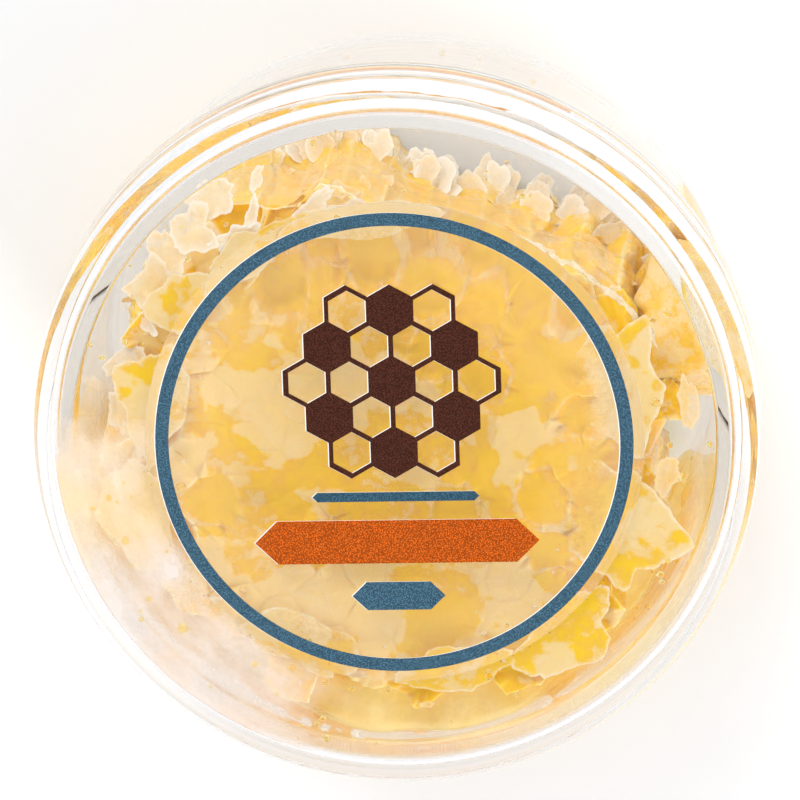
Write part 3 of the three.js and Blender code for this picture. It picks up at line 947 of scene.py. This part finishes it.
def makeWallHoney(settings, material, *nodes):
    rings = []
    for step in range(settings["steps"] + 1):
        share = 2 * step / settings["steps"] - 1
        angle = math.radians(settings["middle"] + settings["half"] * share)
        way = np.array([math.cos(angle), math.sin(angle)])
        full = math.sqrt(max(0.0, math.cos(math.pi / 2 * share)))
        spot = np.array([[way[0] * 32, way[1] * 32, 20.0]])
        uneven = 1 + settings["uneven"] * float(softNoise(spot, 5, 91)[0]) * full
        rise = (settings["height"] - settings["endHeight"]) * full * uneven
        top = settings["bottom"] + settings["endHeight"] + rise
        levels = np.linspace(settings["bottom"], top, settings["rows"])
        outer = wallRadius(levels) + settings["into"]
        thick = settings["endWidth"] + (tub["innerFloor"] - settings["inner"] - settings["endWidth"]) * full
        spots = np.column_stack([np.outer(np.ones(len(levels)), way * 30), levels])
        inner = tub["innerFloor"] - thick + settings["wave"] * softNoise(spots, 3.0, 93)
        creep = settings["creep"] * np.exp(-np.linspace(0, 4, settings["crown"])) * full
        across = outer[-1] - (outer[-1] - inner[-1]) * np.linspace(0, 1, settings["crown"])
        loop = [*zip(outer, levels), *zip(across, top + creep), *zip(inner[::-1], levels[::-1])]
        rings.append([(way[0] * r, way[1] * r, z) for r, z in loop])
    rings = np.array(rings)
    count = rings.shape[1]
    quads = gridQuads(len(rings), count)[:, ::-1]
    ends = []
    for ring, order in ((0, 1), (len(rings) - 1, -1)):
        start = ring * count
        ends += [(start, start + k, start + k + 1)[::order] for k in range(1, count - 1)]
    points = rings.reshape(-1, 3)
    stain = np.full(len(points), settings["stain"])
    piece = makePiece(settings["name"], points, quads, ends, {"stain": stain})
    settle(piece, material, "honey", *nodes)


clearHoney = makeHoneyLook("clearHoney", 0.86, 50)
cloudyHoney = makeHoneyLook("cloudyHoney", 0.36, 40)
makeCellHoney(clearHoney)
makeWallHoney(wallHoney, cloudyHoney, "honey")
makeWallHoney(rightHoney, makeWaxLook("waxyHoney"))

# honey drawn up between the tub and the lid's skirt, thick and thin in turn
seamHoney = {
    # start, end, highest and inner radius
    "stretches": [(60, 124, 28.3, 34.78), (-122, -58, 32.0, 34.14)],
    "stepsPerDegree": 3,
    "low": 27.62,
    "outer": 35.14,
}


def makeSeamHoney(material):
    low, outer = seamHoney["low"], seamHoney["outer"]
    points, quads, ends = [], [], []
    for start, end, top, inner in seamHoney["stretches"]:
        rings = []
        steps = (end - start) * seamHoney["stepsPerDegree"]
        for step in range(steps + 1):
            share = step / steps
            angle = math.radians(start + (end - start) * share)
            way = np.array([math.cos(angle), math.sin(angle)])
            swell = 0.5 + 0.5 * float(roughNoise([way * 34], 7, 171)[0])
            taper = min(1, share * 12, (1 - share) * 12)
            high = low + (top - low) * min(1, 0.2 + 0.8 * swell) * taper + 0.06
            middle = (inner + outer) / 2
            sag = min(0.12 * (high - low), 0.3)
            side = (low + high) / 2
            loop = [
                (inner, low), (middle, low + sag), (outer, low), (outer, side),
                (outer, high), (middle, high - sag), (inner, high), (inner, side),
            ]
            rings.append([(way[0] * r, way[1] * r, z) for r, z in loop])
        rings = np.array(rings)
        corners = rings.shape[1]
        first = sum(len(part) for part in points)
        last = first + steps * corners
        quads.append(gridQuads(len(rings), corners, True, first))
        ends += [(first, first + k + 1, first + k) for k in range(1, corners - 1)]
        ends += [(last, last + k, last + k + 1) for k in range(1, corners - 1)]
        points.append(rings.reshape(-1, 3))
    settle(makePiece("seamHoney", np.concatenate(points), np.concatenate(quads), ends), material, "honey")


makeSeamHoney(makeHoneyLook("seamHoney", 0.9, 35))
print("honey is in the cells, on the wall and in the seam")


# skin of a smear: faces all round its rows, which run out on one side and back on the other, and its two ends
def smearSkin(count, steps, flip=False):
    row, column = np.meshgrid(np.arange(count), np.arange(steps - 1), indexing="ij")
    here, above = row * steps + column, (row + 1) % count * steps + column
    quads = np.stack([here, here + 1, above + 1, above], -1).reshape(-1, 4)
    ends = []
    for column, order in ((0, 1), (steps - 1, -1)):
        for k in range(count // 2 - 1):
            face = [k, k + 1, count - 2 - k, count - 1 - k]
            ends.append([steps * n + column for n in face][::order])
    ends = np.array(ends)
    return np.concatenate([quads[:, [0, 3, 2, 1]], ends[:, ::-1]] if flip else [quads, ends])


# wax and honey smeared on the inside of the tub's wall
wallSmear = {
    "start": -186, "end": -14, "steps": 400, "rows": 46, "low": 2.6, "high": 35.2,
    "into": 0.12, "thin": 0.1, "thick": 0.8, "edge": 6,
    "milky": (0.83, 0.745, 0.685),
    "creamy": (0.83, 0.67, 0.545),
    "golden": (0.95, 0.7, 0.36),
}


def makeSmearLook():
    look = Shader("milkySmear")
    place = look.place()
    streak = look.noise(look.drawn(place, 5), 9, detail=6, roughness=0.6)
    cloud = look.noise(place, 3.5, detail=5)
    colour = look.mix(look.spread(streak, 0.38, 0.62), wallSmear["milky"], wallSmear["creamy"])
    colour = look.mix(look.attribute("golden"), colour, wallSmear["golden"])
    cover = look.attribute("cover")
    patchy = look.math("MULTIPLY", cover, look.spread(streak, 0.3, 0.6, 0.45, 1.0))
    alpha = look.math("MAXIMUM", patchy, look.spread(cover, 0.8, 1.0, 0.0, 0.95))
    normal = look.bump(look.math("ADD", streak, cloud), 0.4, 0.5)
    look.put(look.surface.inputs["Alpha"], alpha)
    look.letLightIn((0.99, 0.97, 0.93))
    rough = look.spread(cloud, 0.3, 0.7, 0.12, 0.4)
    return look.finish(Base_Color=colour, Roughness=rough, Normal=normal, IOR=1.46, Coat_Weight=0.3)


def makeWallSmear(material):
    settings = wallSmear
    angles = np.radians(np.linspace(settings["start"], settings["end"], settings["steps"]))
    levels = np.linspace(settings["low"], settings["high"], settings["rows"])
    ways = np.column_stack([np.cos(angles), np.sin(angles)])
    shares = np.linspace(0, 1, settings["steps"])
    outer, inner, covers, golds = [], [], [], []
    for z in levels:
        spots = np.column_stack([ways * 32, np.full(len(ways), z * 2.4)])
        drift = roughNoise(spots, 9, 181)
        ends = smoothStep(0, 0.12, shares) * (1 - smoothStep(0.9, 1, shares))
        top = 1 - smoothStep(settings["high"] - settings["edge"], settings["high"], z + 2.5 * drift)
        foot = smoothStep(settings["low"], settings["low"] + 3, z)
        milky = np.exp(-((shares - 0.22) / 0.22) ** 4)
        cover = np.clip(0.7 + 0.5 * milky + (0.5 - 0.35 * milky) * drift, 0.1, 1)
        cover = cover * ends * top * (0.5 + 0.5 * foot)
        thick = (settings["thick"] - settings["thin"]) * cover * smoothStep(-0.4, 0.8, drift)
        level = np.full(len(ways), z)
        radius = wallRadius(level)
        thick = settings["thin"] + thick
        outer.append(np.column_stack([ways * (radius + settings["into"])[:, None], level]))
        inner.append(np.column_stack([ways * (radius - thick)[:, None], level]))
        covers.append(cover)
        wash = 0.35 * np.exp(-((shares - 0.15) / 0.06) ** 2)
        gold = 0.6 * smoothStep(0.46, 0.8, shares) + wash + 0.35 * drift * (0.3 + shares)
        golds.append(np.clip(gold, 0, 1))
    rows = outer + inner[::-1]
    fields = {"cover": np.concatenate(covers + covers[::-1]), "golden": np.concatenate(golds + golds[::-1])}
    quads = smearSkin(len(rows), settings["steps"])
    settle(makePiece("wallSmear", np.concatenate(rows), quads, (), fields), material, "comb_wax")


milkySmear = makeSmearLook()
makeWallSmear(milkySmear)

# a milky film of wax and honey under the lid, where the comb has been pushed against it
lidSmear = {
    "start": -186, "end": -98, "steps": 300, "rows": 50,
    "inner": 23.5, "outer": 34.7, "low": 36.46, "high": 36.62,
}


def makeLidSmear(material):
    settings = lidSmear
    angles = np.radians(np.linspace(settings["start"], settings["end"], settings["steps"]))
    shares = np.linspace(0, 1, settings["steps"])
    ways = np.column_stack([np.cos(angles), np.sin(angles)])
    rows, covers, golds = [], [], []
    last = settings["rows"] - 1
    for level in (settings["low"], settings["high"]):
        for n in range(settings["rows"]):
            row = n if level == settings["low"] else last - n
            radius = settings["inner"] + (settings["outer"] - settings["inner"]) * row / last
            flat = ways * radius
            drift = roughNoise(flat, 5.5, 191, 4)
            streak = roughNoise(np.column_stack([angles * 9, np.full(len(angles), radius)]), 1.3, 193, 3)
            ends = smoothStep(0.02, 0.12, shares + 0.05 * drift)
            ends = ends * (1 - smoothStep(0.66, 0.98, shares + 0.1 * drift))
            inside = smoothStep(settings["inner"] + 0.6, settings["inner"] + 3.6, radius + 1.6 * drift)
            start = 1 - smoothStep(0.2, 0.42, shares + 0.06 * drift)
            wash = 0.5 * np.exp(-((shares - 0.27) / 0.1) ** 2)
            golds.append(np.clip(start * (0.3 + wash + 0.25 * drift), 0, 1))
            sag = 0.05 * softNoise(flat, 2.4, 195) if level == settings["low"] else 0
            rows.append(np.column_stack([flat, np.full(len(angles), level) + sag]))
            covers.append(np.clip(0.74 + 0.28 * drift + 0.25 * streak, 0, 1) * ends * inside)
    fields = {"cover": np.concatenate(covers), "golden": np.concatenate(golds)}
    quads = smearSkin(len(rows), settings["steps"], True)
    settle(makePiece("lidSmear", np.concatenate(rows), quads, (), fields), material, "comb_wax")


makeLidSmear(milkySmear)
print("the wall and the lid are smeared")


# outline of a broken flake: straight breaks between a few corners
def brokenOutline(angles, seed):
    count = 5 + int(4 * grain(seed, 1.3))
    corners = (np.arange(count) + 0.75 * grain(np.arange(count), seed, 2.1)) * 2 * math.pi / count
    radii = 0.72 + 0.5 * grain(np.arange(count), seed, 4.7)
    after = np.searchsorted(corners, angles) % count
    first, second = corners[after - 1], corners[after]
    near, far = radii[after - 1], radii[after]
    wide = np.mod(second - first, 2 * math.pi)
    along = np.mod(angles - first, 2 * math.pi)
    return near * far * np.sin(wide) / np.maximum(near * np.sin(along) + far * np.sin(wide - along), 0.05)


# one ragged sheet of wax with a rounded edge: torn caps, shreds and chips are all made from it
def waxSheet(place, sizes, turns, thick, seed, around, rings, spike, curl=0.05):
    length, width = sizes
    turn, lean, leanWay = turns
    angles = np.linspace(0, 2 * math.pi, around, endpoint=False)
    way = np.column_stack([np.cos(angles), np.sin(angles)])
    fine = roughNoise(way * (length + width) / 3 + seed * 1.7, 1.0, 153, 4)
    slow = roughNoise(way * 1.4 + seed * 3.1, 1.0, 151, 2)
    uneven = 1 + spike * (0.5 * slow + min(0.4, 2.6 / (length + width)) * fine)
    outline = (0.75 * np.clip(brokenOutline(angles, seed), 0.5, 1.3) + 0.24 + 0.1 * slow) * uneven
    rows = []
    # rows from one side over the rim to the other, close together at the rim, so that the edge stays bright
    for n in [*range(-rings, 0), -0.12, 0, 0.12, *range(1, rings + 1)]:
        share = 1 - abs(n) / rings
        side = -1 if n < 0 else 1
        flat = way * (outline * share)[:, None] * [length / 2, width / 2]
        bend = curl * (flat ** 2).sum(axis=1) + 0.14 * softNoise(flat + seed * 5, 0.9, 155)
        z = bend + (side if n else 0) * thick / 2 * (1 - 0.6 * share ** 3)
        rows.append(np.column_stack([flat, z, np.full(around, share)]))
    rows = np.array(rows)
    spin = Matrix.Rotation(math.radians(leanWay), 3, "Z") @ Matrix.Rotation(math.radians(lean), 3, "Y")
    spin = spin @ Matrix.Rotation(math.radians(turn - leanWay), 3, "Z")
    spots = rows[:, :, :3].reshape(-1, 3) @ np.array(spin).T + np.array(place)
    return spots, gridQuads(len(rows), around), rows[:, :, 3].ravel()


def joinSheets(name, sheets, material, slot):
    points, quads, edges, tones = joined(sheets)
    settle(makePiece(name, points, quads, (), {"edge": edges, "pale": tones}), material, slot)


combSkin = treeOf(waxComb.data)
besideComb = 3.0              # a height for places where there is no comb


tornCaps = {
    "thick": 0.1,
    "highest": 36.42,
    "cream": ((0.89, 0.67, 0.35), (0.88, 0.57, 0.17)),
    "white": ((0.93, 0.87, 0.76), (0.92, 0.78, 0.58)),
    "rim": (0.96, 0.935, 0.87),
    # x, y, z, length, width, turn, lean, the way it leans, how ragged and how pale
    "large": [
        (-15.3, 21.4, 36.0, 6.2, 3.2, 20, 4, 0, 0.6, 0.9),
        (-13.7, 24.0, 35.8, 3.6, 1.2, 74, 22, 100, 0.5, 0.95),
        (-7.5, 24.7, 35.8, 5.0, 2.0, 45, 12, 90, 0.6, 0.85),
        (-3.4, 24.2, 35.9, 5.2, 2.0, -6, 6, 90, 0.6, 0.7),
        (-13.2, 27.4, 33.6, 3.8, 1.7, 80, 38, 100, 0.5, 0.8),
        (-19.8, 22.4, 35.8, 6.4, 4.6, 70, 10, 140, 0.45, 0.65),
        (-17.6, 25.3, 34.6, 5.4, 4.2, 20, 24, 125, 0.45, 0.7),
        (-22.6, 19.6, 35.0, 5.2, 4.0, 110, 20, 140, 0.45, 0.6),
        (-24.2, 16.4, 35.2, 5.6, 4.2, 60, 16, 150, 0.45, 0.55),
        (-24.8, 12.2, 35.0, 3.6, 1.9, 130, 20, 155, 0.5, 0.9),
        (-26.8, 8.4, 34.6, 4.8, 3.2, 40, 20, 165, 0.5, 0.65),
        (-28.4, 2.6, 33.0, 5.0, 3.4, 100, 26, 175, 0.5, 0.65),
        (30.0, 3.6, 35.7, 6.0, 2.4, 96, 10, 10, 0.45, 0.4),
        (-17.4, -17.6, 35.2, 4.4, 2.4, 150, 16, -135, 0.5, 0.7),
        (-23.3, -14.4, 34.9, 4.6, 2.4, 120, 20, -147, 0.5, 0.8),
        (27.6, -4.4, 35.2, 4.4, 3.0, 60, 16, -10, 0.5, 0.35),
    ],
    "loose": 90,
    "looseReach": (21, 31.0),
    "looseLowest": 25,
}


def makeTornCapLook():
    look = Shader("tornCapWax")
    place = look.place()
    mottle = look.noise(place, 1.5, detail=6, roughness=0.6)
    fine = look.noise(place, 0.35, detail=4)
    pale = look.attribute("pale")
    edge = look.attribute("edge")
    cream = look.mix(look.spread(mottle, 0.35, 0.65), *tornCaps["cream"])
    white = look.mix(look.spread(mottle, 0.35, 0.65), *tornCaps["white"])
    colour = look.mix(look.spread(pale, 0.2, 1.0), cream, white)
    rim = look.math("MULTIPLY", look.spread(edge, 0.78, 1.0), look.spread(pale, 0.2, 1.0, 0.2, 0.8))
    colour = look.mix(rim, colour, tornCaps["rim"])
    solid = look.spread(edge, 0.3, 1.0, 0.45, 0.8)
    alpha = look.math("MULTIPLY", look.spread(mottle, 0.3, 0.7, 0.75, 1.1), solid)
    look.put(look.surface.inputs["Alpha"], alpha)
    normal = look.bump(look.math("ADD", mottle, look.math("MULTIPLY", fine, 0.3)), 0.3, 0.2)
    rough = look.spread(fine, 0.35, 0.7, 0.22, 0.45)
    look.letLightIn((0.99, 0.95, 0.85), 0.55)
    return look.finish(
        Base_Color=colour, Roughness=rough, Normal=normal, IOR=wax["index"],
        Coat_Weight=0.35, Coat_Roughness=0.12,
    )


def makeTornCaps(material):
    sheets = []
    for n, values in enumerate(tornCaps["large"]):
        place, sizes, turns, (spike, pale) = values[:3], values[3:5], values[5:8], values[8:]
        sheet = waxSheet(place, sizes, turns, tornCaps["thick"] * 1.3, n, 90, 7, spike, 0.03)
        sheets.append((sheet, pale))
    low, high = tornCaps["looseReach"]
    for n in range(tornCaps["loose"]):
        angle = 2 * math.pi * float(grain(n, 3.1))
        radius = low + (high - low) * float(grain(n, 5.3)) ** 0.7
        x, y = onCircle(angle, radius)
        z = heightAt(combSkin, x, y, besideComb)
        if z < tornCaps["looseLowest"]:
            continue
        size = 0.7 + 1.7 * float(grain(n, 7.7)) ** 2
        lean = 8 + 28 * float(grain(n, 9.1))
        slope = math.sin(math.radians(lean))
        z = min(z + 0.15 + 0.2 * size * slope, tornCaps["highest"] - 0.4 * size * slope)
        turns = 360 * float(grain(n, 11.3)), lean, 360 * float(grain(n, 13.7))
        sheet = waxSheet((x, y, z), (size, size * 0.62), turns, tornCaps["thick"], n + 60, 28, 4, 0.24)
        sheets.append((sheet, 0.1 + 0.6 * float(grain(n, 15.1))))
    joinSheets("tornCaps", sheets, material, "comb_wax")


# wide sheets that the lid has pressed flat onto the comb, with torn outer edges
pressedCaps = {
    "thick": 0.1,
    "fade": (18, 24.5),       # they merge into the comb between these distances from the label's middle
    # x, y, z, length, width, turn, how ragged and how dry
    "sheets": [
        (22.3, 5.2, 36.34, 10.5, 17, -14, 0.3, 0.05), (22.8, -9.5, 36.28, 10.5, 16, 14, 0.3, 0.05),
        (17.5, -20.6, 36.2, 14, 8.5, 34, 0.3, 0.0), (4.5, -24.2, 36.15, 14, 5.4, 6, 0.34, 0.0),
        (-9.5, -22.0, 36.2, 13, 7, -24, 0.3, 0.05), (-24.6, 5.0, 36.2, 9, 14, -8, 0.3, 0.3),
        (-25.6, -7.5, 36.15, 9, 15, 12, 0.3, 0.3), (-20.8, 14.6, 36.2, 8, 9, -30, 0.3, 0.25),
        (-14.5, 19.6, 36.25, 12, 4.6, 36, 0.34, 0.3), (-3.0, 22.8, 36.3, 15, 3.8, 6, 0.36, 0.25),
    ],
}


def makePressedCaps(material):
    sheets = []
    for n, (*place, length, width, turn, spike, dry) in enumerate(pressedCaps["sheets"]):
        thick = pressedCaps["thick"]
        sheet = waxSheet(place, (length, width), (turn, 0, 0), thick, n + 30, 220, 12, spike, 0)
        sheets.append((sheet, dry))
    points, quads, edges, dries = joined(sheets)
    flat = points[:, :2]
    cover = smoothStep(*pressedCaps["fade"], np.hypot(*flat.T))
    fields = {
        "stain": np.clip(0.45 + 0.5 * richness(flat) + 0.35 * roughNoise(flat, 3.4, 41), 0, 1),
        "dry": dryness(flat) + dries,
        "torn": 0.6 * smoothStep(0.9, 1.0, edges),
        "cover": cover,
    }
    settle(makePiece("pressedCaps", points, quads, (), fields), material, "comb_wax")


# thin shreds that stand out of the comb's cut side, and pale petals round its far foot
sideShreds = {
    "thick": 0.1,
    "spike": 0.42,
    "sunk": 0.25,
    # angles and heights: the least, and how much more there can be
    "shreds": {"count": 110, "angles": (-8, 190), "heights": (3.5, 30), "bunching": 1.25, "reach": 30.6},
    "petals": {"count": 38, "angles": (22, 96), "heights": (2.4, 9), "bunching": 1.5, "reach": 27.6},
}


def makeSideShreds(material):
    shreds, petals = sideShreds["shreds"], sideShreds["petals"]
    sheets = []
    for n in range(shreds["count"] + petals["count"]):
        isPetal = n >= shreds["count"]
        kind = petals if isPetal else shreds
        (start, span), (lowest, more) = kind["angles"], kind["heights"]
        if isPetal:
            angle = math.radians(start + span * float(grain(n, 22.7)))
            z = lowest + more * float(grain(n, 24.1)) ** kind["bunching"]
        else:
            angle = math.radians(start + span * (n + float(grain(n, 21.1))) / kind["count"])
            z = lowest + more * float(grain(n, 23.3)) ** kind["bunching"]
        way = Vector((*onCircle(angle, 1), 0))
        outside = Vector((*(combMiddle + np.array(way[:2]) * 60), z))
        spot = combSkin.ray_cast(outside * mm, -way)[0]
        if spot is None:
            continue
        spot = spot / mm - way * sideShreds["sunk"]
        if math.hypot(spot.x, spot.y) > kind["reach"]:
            continue
        size = 2.4 * float(grain(n, 25.7))
        lean = 60 * float(grain(n, 29.3))
        leanWay = math.degrees(angle) + 130 * (float(grain(n, 31.7)) - 0.5)
        turn = 40 * float(grain(n, 27.1)) - 20 + leanWay
        light = float(grain(n, 33.1))
        if isPetal:
            spot += way * 0.4
            # the petals' pale tone is partly their own pale wax and partly painted light: it is whitened to
            # make up for the shade they stand in at the comb's foot
            size, lean, pale = 3.2 + size, 15 + lean, 0.5 + 0.6 * light
        else:
            size, lean = 1.6 + size, 55 + lean
            pale = 0.15 + 0.75 * (1 - float(smoothStep(6, 16, z))) + 0.3 * light
        sizes = size * 1.25, size * 0.8
        turns = turn, lean, leanWay
        sheet = waxSheet(spot, sizes, turns, sideShreds["thick"], n + 300, 30, 4, sideShreds["spike"])
        sheets.append((sheet, pale))
    joinSheets("sideShreds", sheets, material, "comb_wax")


tornCapWax = makeTornCapLook()
makeTornCaps(tornCapWax)
makePressedCaps(makeWaxLook("pressedCapWax", True))
makeSideShreds(tornCapWax)


# an uneven little lump, wider or flatter by its three sizes
def lumpAt(place, sizes, seed, across=9, down=6):
    angles = np.linspace(0, 2 * math.pi, across, endpoint=False)
    rows = []
    for n in range(down + 1):
        tip = math.pi * (1 - n / down)
        circle = np.column_stack([np.cos(angles), np.sin(angles)]) * math.sin(tip)
        ring = np.column_stack([circle, np.full(across, math.cos(tip))])
        rough = 1 + 0.4 * softNoise(ring * 1.2 + seed * 2.7, 1.0, 201)
        rows.append(ring * rough[:, None] * np.array(sizes) / 2 + np.array(place))
    spots = np.concatenate(rows)
    return spots, gridQuads(down + 1, across), np.full(len(spots), 0.7)


crumbs = {"onComb": 110, "onWall": 60, "onFloor": 26, "highest": 36.3}


def makeWaxCrumbs(material):
    lumps = []
    for n in range(crumbs["onComb"] + crumbs["onWall"] + crumbs["onFloor"]):
        size = 0.25 + 0.6 * float(grain(n, 41.3)) ** 2
        chance = float(grain(n, 43.7))
        if n < crumbs["onComb"]:
            x, y = onCircle(math.radians(360 * float(grain(n, 45.1))), 19 + 11.5 * chance)
            z = min(heightAt(combSkin, x, y, besideComb) + 0.15 * size, crumbs["highest"])
        elif n < crumbs["onComb"] + crumbs["onWall"]:
            z = 6 + 24 * chance
            radius = float(wallRadius(np.array([z]))[0]) - 0.7
            x, y = onCircle(math.radians(-118 + 60 * float(grain(n, 47.9))), radius)
        else:
            z = tub["floorTop"] + 0.3 * size
            x, y = onCircle(math.radians(30 + 150 * float(grain(n, 47.9))), 31.4 - 2.2 * chance)
        lump = lumpAt((x, y, z), (size, size * 0.8, size * 0.7), n)
        lumps.append((lump, 0.3 + 0.7 * float(grain(n, 49.7))))
    joinSheets("waxCrumbs", lumps, material, "comb_wax")


# drops of honey that hang from the lid and, one in three, stand on the smeared wall
beads = {"count": 120, "lidHeight": 0.34, "offWall": 0.55}


def makeHoneyBeads(material):
    lumps = []
    for n in range(beads["count"]):
        size = 0.3 + 0.8 * float(grain(n, 51.3)) ** 3
        if n % 3:
            angle = math.radians(360 * float(grain(n, 53.1)))
            radius, z = 22 + 11 * float(grain(n, 55.7)), lid["height"] - lid["thickness"]
            sizes = (size, size, beads["lidHeight"])
        else:
            angle = math.radians(-160 + 140 * float(grain(n, 53.1)))
            z = 5 + 28 * float(grain(n, 55.7))
            radius = float(wallRadius(np.array([z]))[0]) - beads["offWall"]
            sizes = (size * 0.6, size * 0.6, size * 0.8)
        lumps.append((lumpAt((*onCircle(angle, radius), z), sizes, n + 0.5, 14, 10), 0.5))
    joinSheets("honeyBeads", lumps, material, "honey")


# a crinkled thread of thin film of wax along the torn edge
crinkle = {
    "path": [(13.2, 21.6), (17.2, 18.6), (19.6, 17.0), (22.1, 14.7), (24.3, 12.9), (26.3, 10.6), (27.4, 8.8)],
    "z": 36.0,
    "highest": 36.42,
    "wander": 0.45,
    "fold": 0.42,
    "wide": 0.85,
    "beside": (0.62, 0.78),
    "thick": 0.05,
    "steps": 170,
    "across": 9,
}


def makeCrinkledFilm(material):
    settings = crinkle
    shares = np.linspace(0, 1, settings["steps"])
    path = np.array(settings["path"])
    lengths = np.concatenate([[0], np.cumsum(np.hypot(*np.diff(path, axis=0).T))])
    flat = np.column_stack([np.interp(shares * lengths[-1], lengths, path[:, k]) for k in (0, 1)])
    flat += settings["wander"] * np.column_stack([roughNoise(flat, 2.2, seed) for seed in (211, 213)])
    taper = np.minimum(1, np.minimum(shares, 1 - shares) * 9)
    wide = settings["wide"] * taper * (0.75 + 0.5 * roughNoise(flat, 1.3, 215))
    rows = []
    for side in (1, -1):
        for n in range(settings["across"]):
            across = side * (2 * n / (settings["across"] - 1) - 1)
            spot = flat + np.array(settings["beside"]) * (across * wide / 2)[:, None]
            fold = settings["fold"] * roughNoise(np.column_stack([spot, shares * 20]), 0.9, 217) * taper
            half = side * settings["thick"] / 2 * taper * (1 - across ** 4)
            z = settings["z"] + 0.5 * (0.5 - shares) + fold + half
            z = np.minimum(z, settings["highest"])
            rows.append(np.column_stack([spot, z, np.full(len(z), across ** 2)]))
    spots = np.array(rows).transpose(1, 0, 2).reshape(-1, 4)
    sheet = (spots[:, :3], gridQuads(settings["steps"], len(rows)), 0.15 + 0.8 * spots[:, 3])
    joinSheets("crinkledFilm", [(sheet, 1.0)], material, "comb_wax")


makeWaxCrumbs(tornCapWax)
makeHoneyBeads(makeHoneyLook("beadHoney", 0.97, 10))
makeCrinkledFilm(tornCapWax)
print("caps, shreds, crumbs and drops are in place")


film = {
    "radius": 25.4, "bottom": 38.006, "top": 38.096, "bevel": 0.03, "steps": 288,
    "colours": ((0.975, 0.945, 0.885), (0.965, 0.93, 0.86)),
}


def makeFilm():
    look = Shader("labelFilm")
    place = look.place()
    cloud = look.noise(place, 6, detail=4)
    normal = look.bump(look.noise(place, 2.5, detail=3), 0.06, 0.2)
    colour = look.mix(look.spread(cloud, 0.3, 0.7), *film["colours"])
    look.letLightIn((0.98, 0.962, 0.925))
    material = look.finish(
        Base_Color=colour, Roughness=0.05, Normal=normal, IOR=1.47, Transmission_Weight=0.985,
    )
    radius, bottom, top, bevel = (film[key] for key in ("radius", "bottom", "top", "bevel"))
    profile = [(0, bottom), (12, bottom), (radius - bevel, bottom), (radius, bottom + bevel)]
    profile += [(radius, top - bevel), (radius - bevel, top), (12, top), (0, top)]
    settle(openToLight(spun("labelFilm", profile, film["steps"])), material, "label_film", "label")


# keeps the comb under the print as bright as beside it
throughPrint = (0.96, 0.95, 0.93), 0.85
inks = {
    "label_ring": ("blueInk", (0.043, 0.1, 0.148), "blue_print"),
    "label_short_bar": ("blueInkBar", (0.043, 0.1, 0.148), "blue_print"),
    "label_thin_rule": ("darkBlueInk", (0.03, 0.08, 0.12), "dark_blue_print"),
    "label_emblem": ("brownInk", (0.052, 0.0145, 0.008), "brown_print"),
    "label_wide_band": ("orangeInk", (0.42, 0.075, 0.005), "orange_print"),
}


def makeInk(name, colour):
    look = Shader(name)
    place = look.place()
    screen = look.cells(place, 0.16)                      # the fine screen of the print
    wear = look.noise(place, 0.5, detail=5, roughness=0.7)
    shade = look.mix(look.spread(screen, 0.15, 0.6), tinted(colour, 2.1), tinted(colour, 0.7))
    shade = look.mix(look.spread(wear, 0.5, 0.75, 0, 0.35), shade, tinted(colour, 1.3, 0.02))
    normal = look.bump(screen, 0.15, 0.03)
    rough = look.spread(wear, 0.3, 0.7, 0.45, 0.65)
    look.letLightIn(*throughPrint)
    return look.finish(Base_Color=shade, Roughness=rough, Normal=normal, IOR=1.45, Specular_IOR_Level=0.15)


makeFilm()
for node, (name, colour, slot) in inks.items():
    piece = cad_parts[node]
    piece.data.materials.clear()
    piece.data.materials.append(makeInk(name, colour))


# a white print under the colours, a little out of register
underprint = {
    "low": 38.098, "high": 38.13, "shift": (-0.1, 0.02),
    "colours": ((0.95, 0.945, 0.93), (0.9, 0.88, 0.85)),
}


def makeUnderprint():
    look = Shader("whiteInk")
    wear = look.noise(look.place(), 0.4, detail=4)
    colour = look.mix(look.spread(wear, 0.35, 0.7), *underprint["colours"])
    rough = look.spread(wear, 0.3, 0.7, 0.45, 0.6)
    look.letLightIn(*throughPrint)
    material = look.finish(Base_Color=colour, Roughness=rough, IOR=1.45)
    points, triangles, quads = [], [], []
    count = 0
    for node in inks:
        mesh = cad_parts[node].data
        spots = np.array([v.co for v in mesh.vertices]) / mm
        height = (spots[:, 2] - spots[:, 2].min()) / np.ptp(spots[:, 2])
        spots[:, 2] = underprint["low"] + height * (underprint["high"] - underprint["low"])
        spots[:, :2] += underprint["shift"]
        for face in mesh.polygons:
            corners = [k + count for k in face.vertices]
            (triangles if len(corners) == 3 else quads).append(corners)
        points.append(spots)
        count += len(spots)
    piece = makePiece("whiteUnderprint", np.concatenate(points), quads, triangles, weld=False)
    settle(piece, material, "label_film")


specks = {"count": 34, "radius": 25.42, "z": 38.02, "colours": ((0.11, 0.08, 0.05), (0.22, 0.17, 0.12))}


def makeDustSpecks():
    look = Shader("darkDust")
    tone = look.noise(look.place(), 0.1, detail=3)
    colour = look.mix(tone, *specks["colours"])
    material = look.finish(Base_Color=colour, Roughness=look.spread(tone, 0.3, 0.7, 0.6, 0.85))
    lumps = []
    for n in range(specks["count"]):
        angle = 360 * float(grain(n, 63.1))
        if n % 5:
            angle = -185 + 150 * (n + float(grain(n, 61.3))) / specks["count"]
        radius = specks["radius"] + (0.5 * float(grain(n, 65.7)) - 0.15)
        size = 0.06 + 0.12 * float(grain(n, 67.9)) ** 2
        place = (*onCircle(math.radians(angle), radius), specks["z"])
        lumps.append((lumpAt(place, (size, size * 0.8, 0.08), n, 7, 4), 0))
    points, quads = joined(lumps)[:2]
    settle(makePiece("dustSpecks", points, quads), material, "brown_print")


makeUnderprint()
makeDustSpecks()
print("label is dressed")
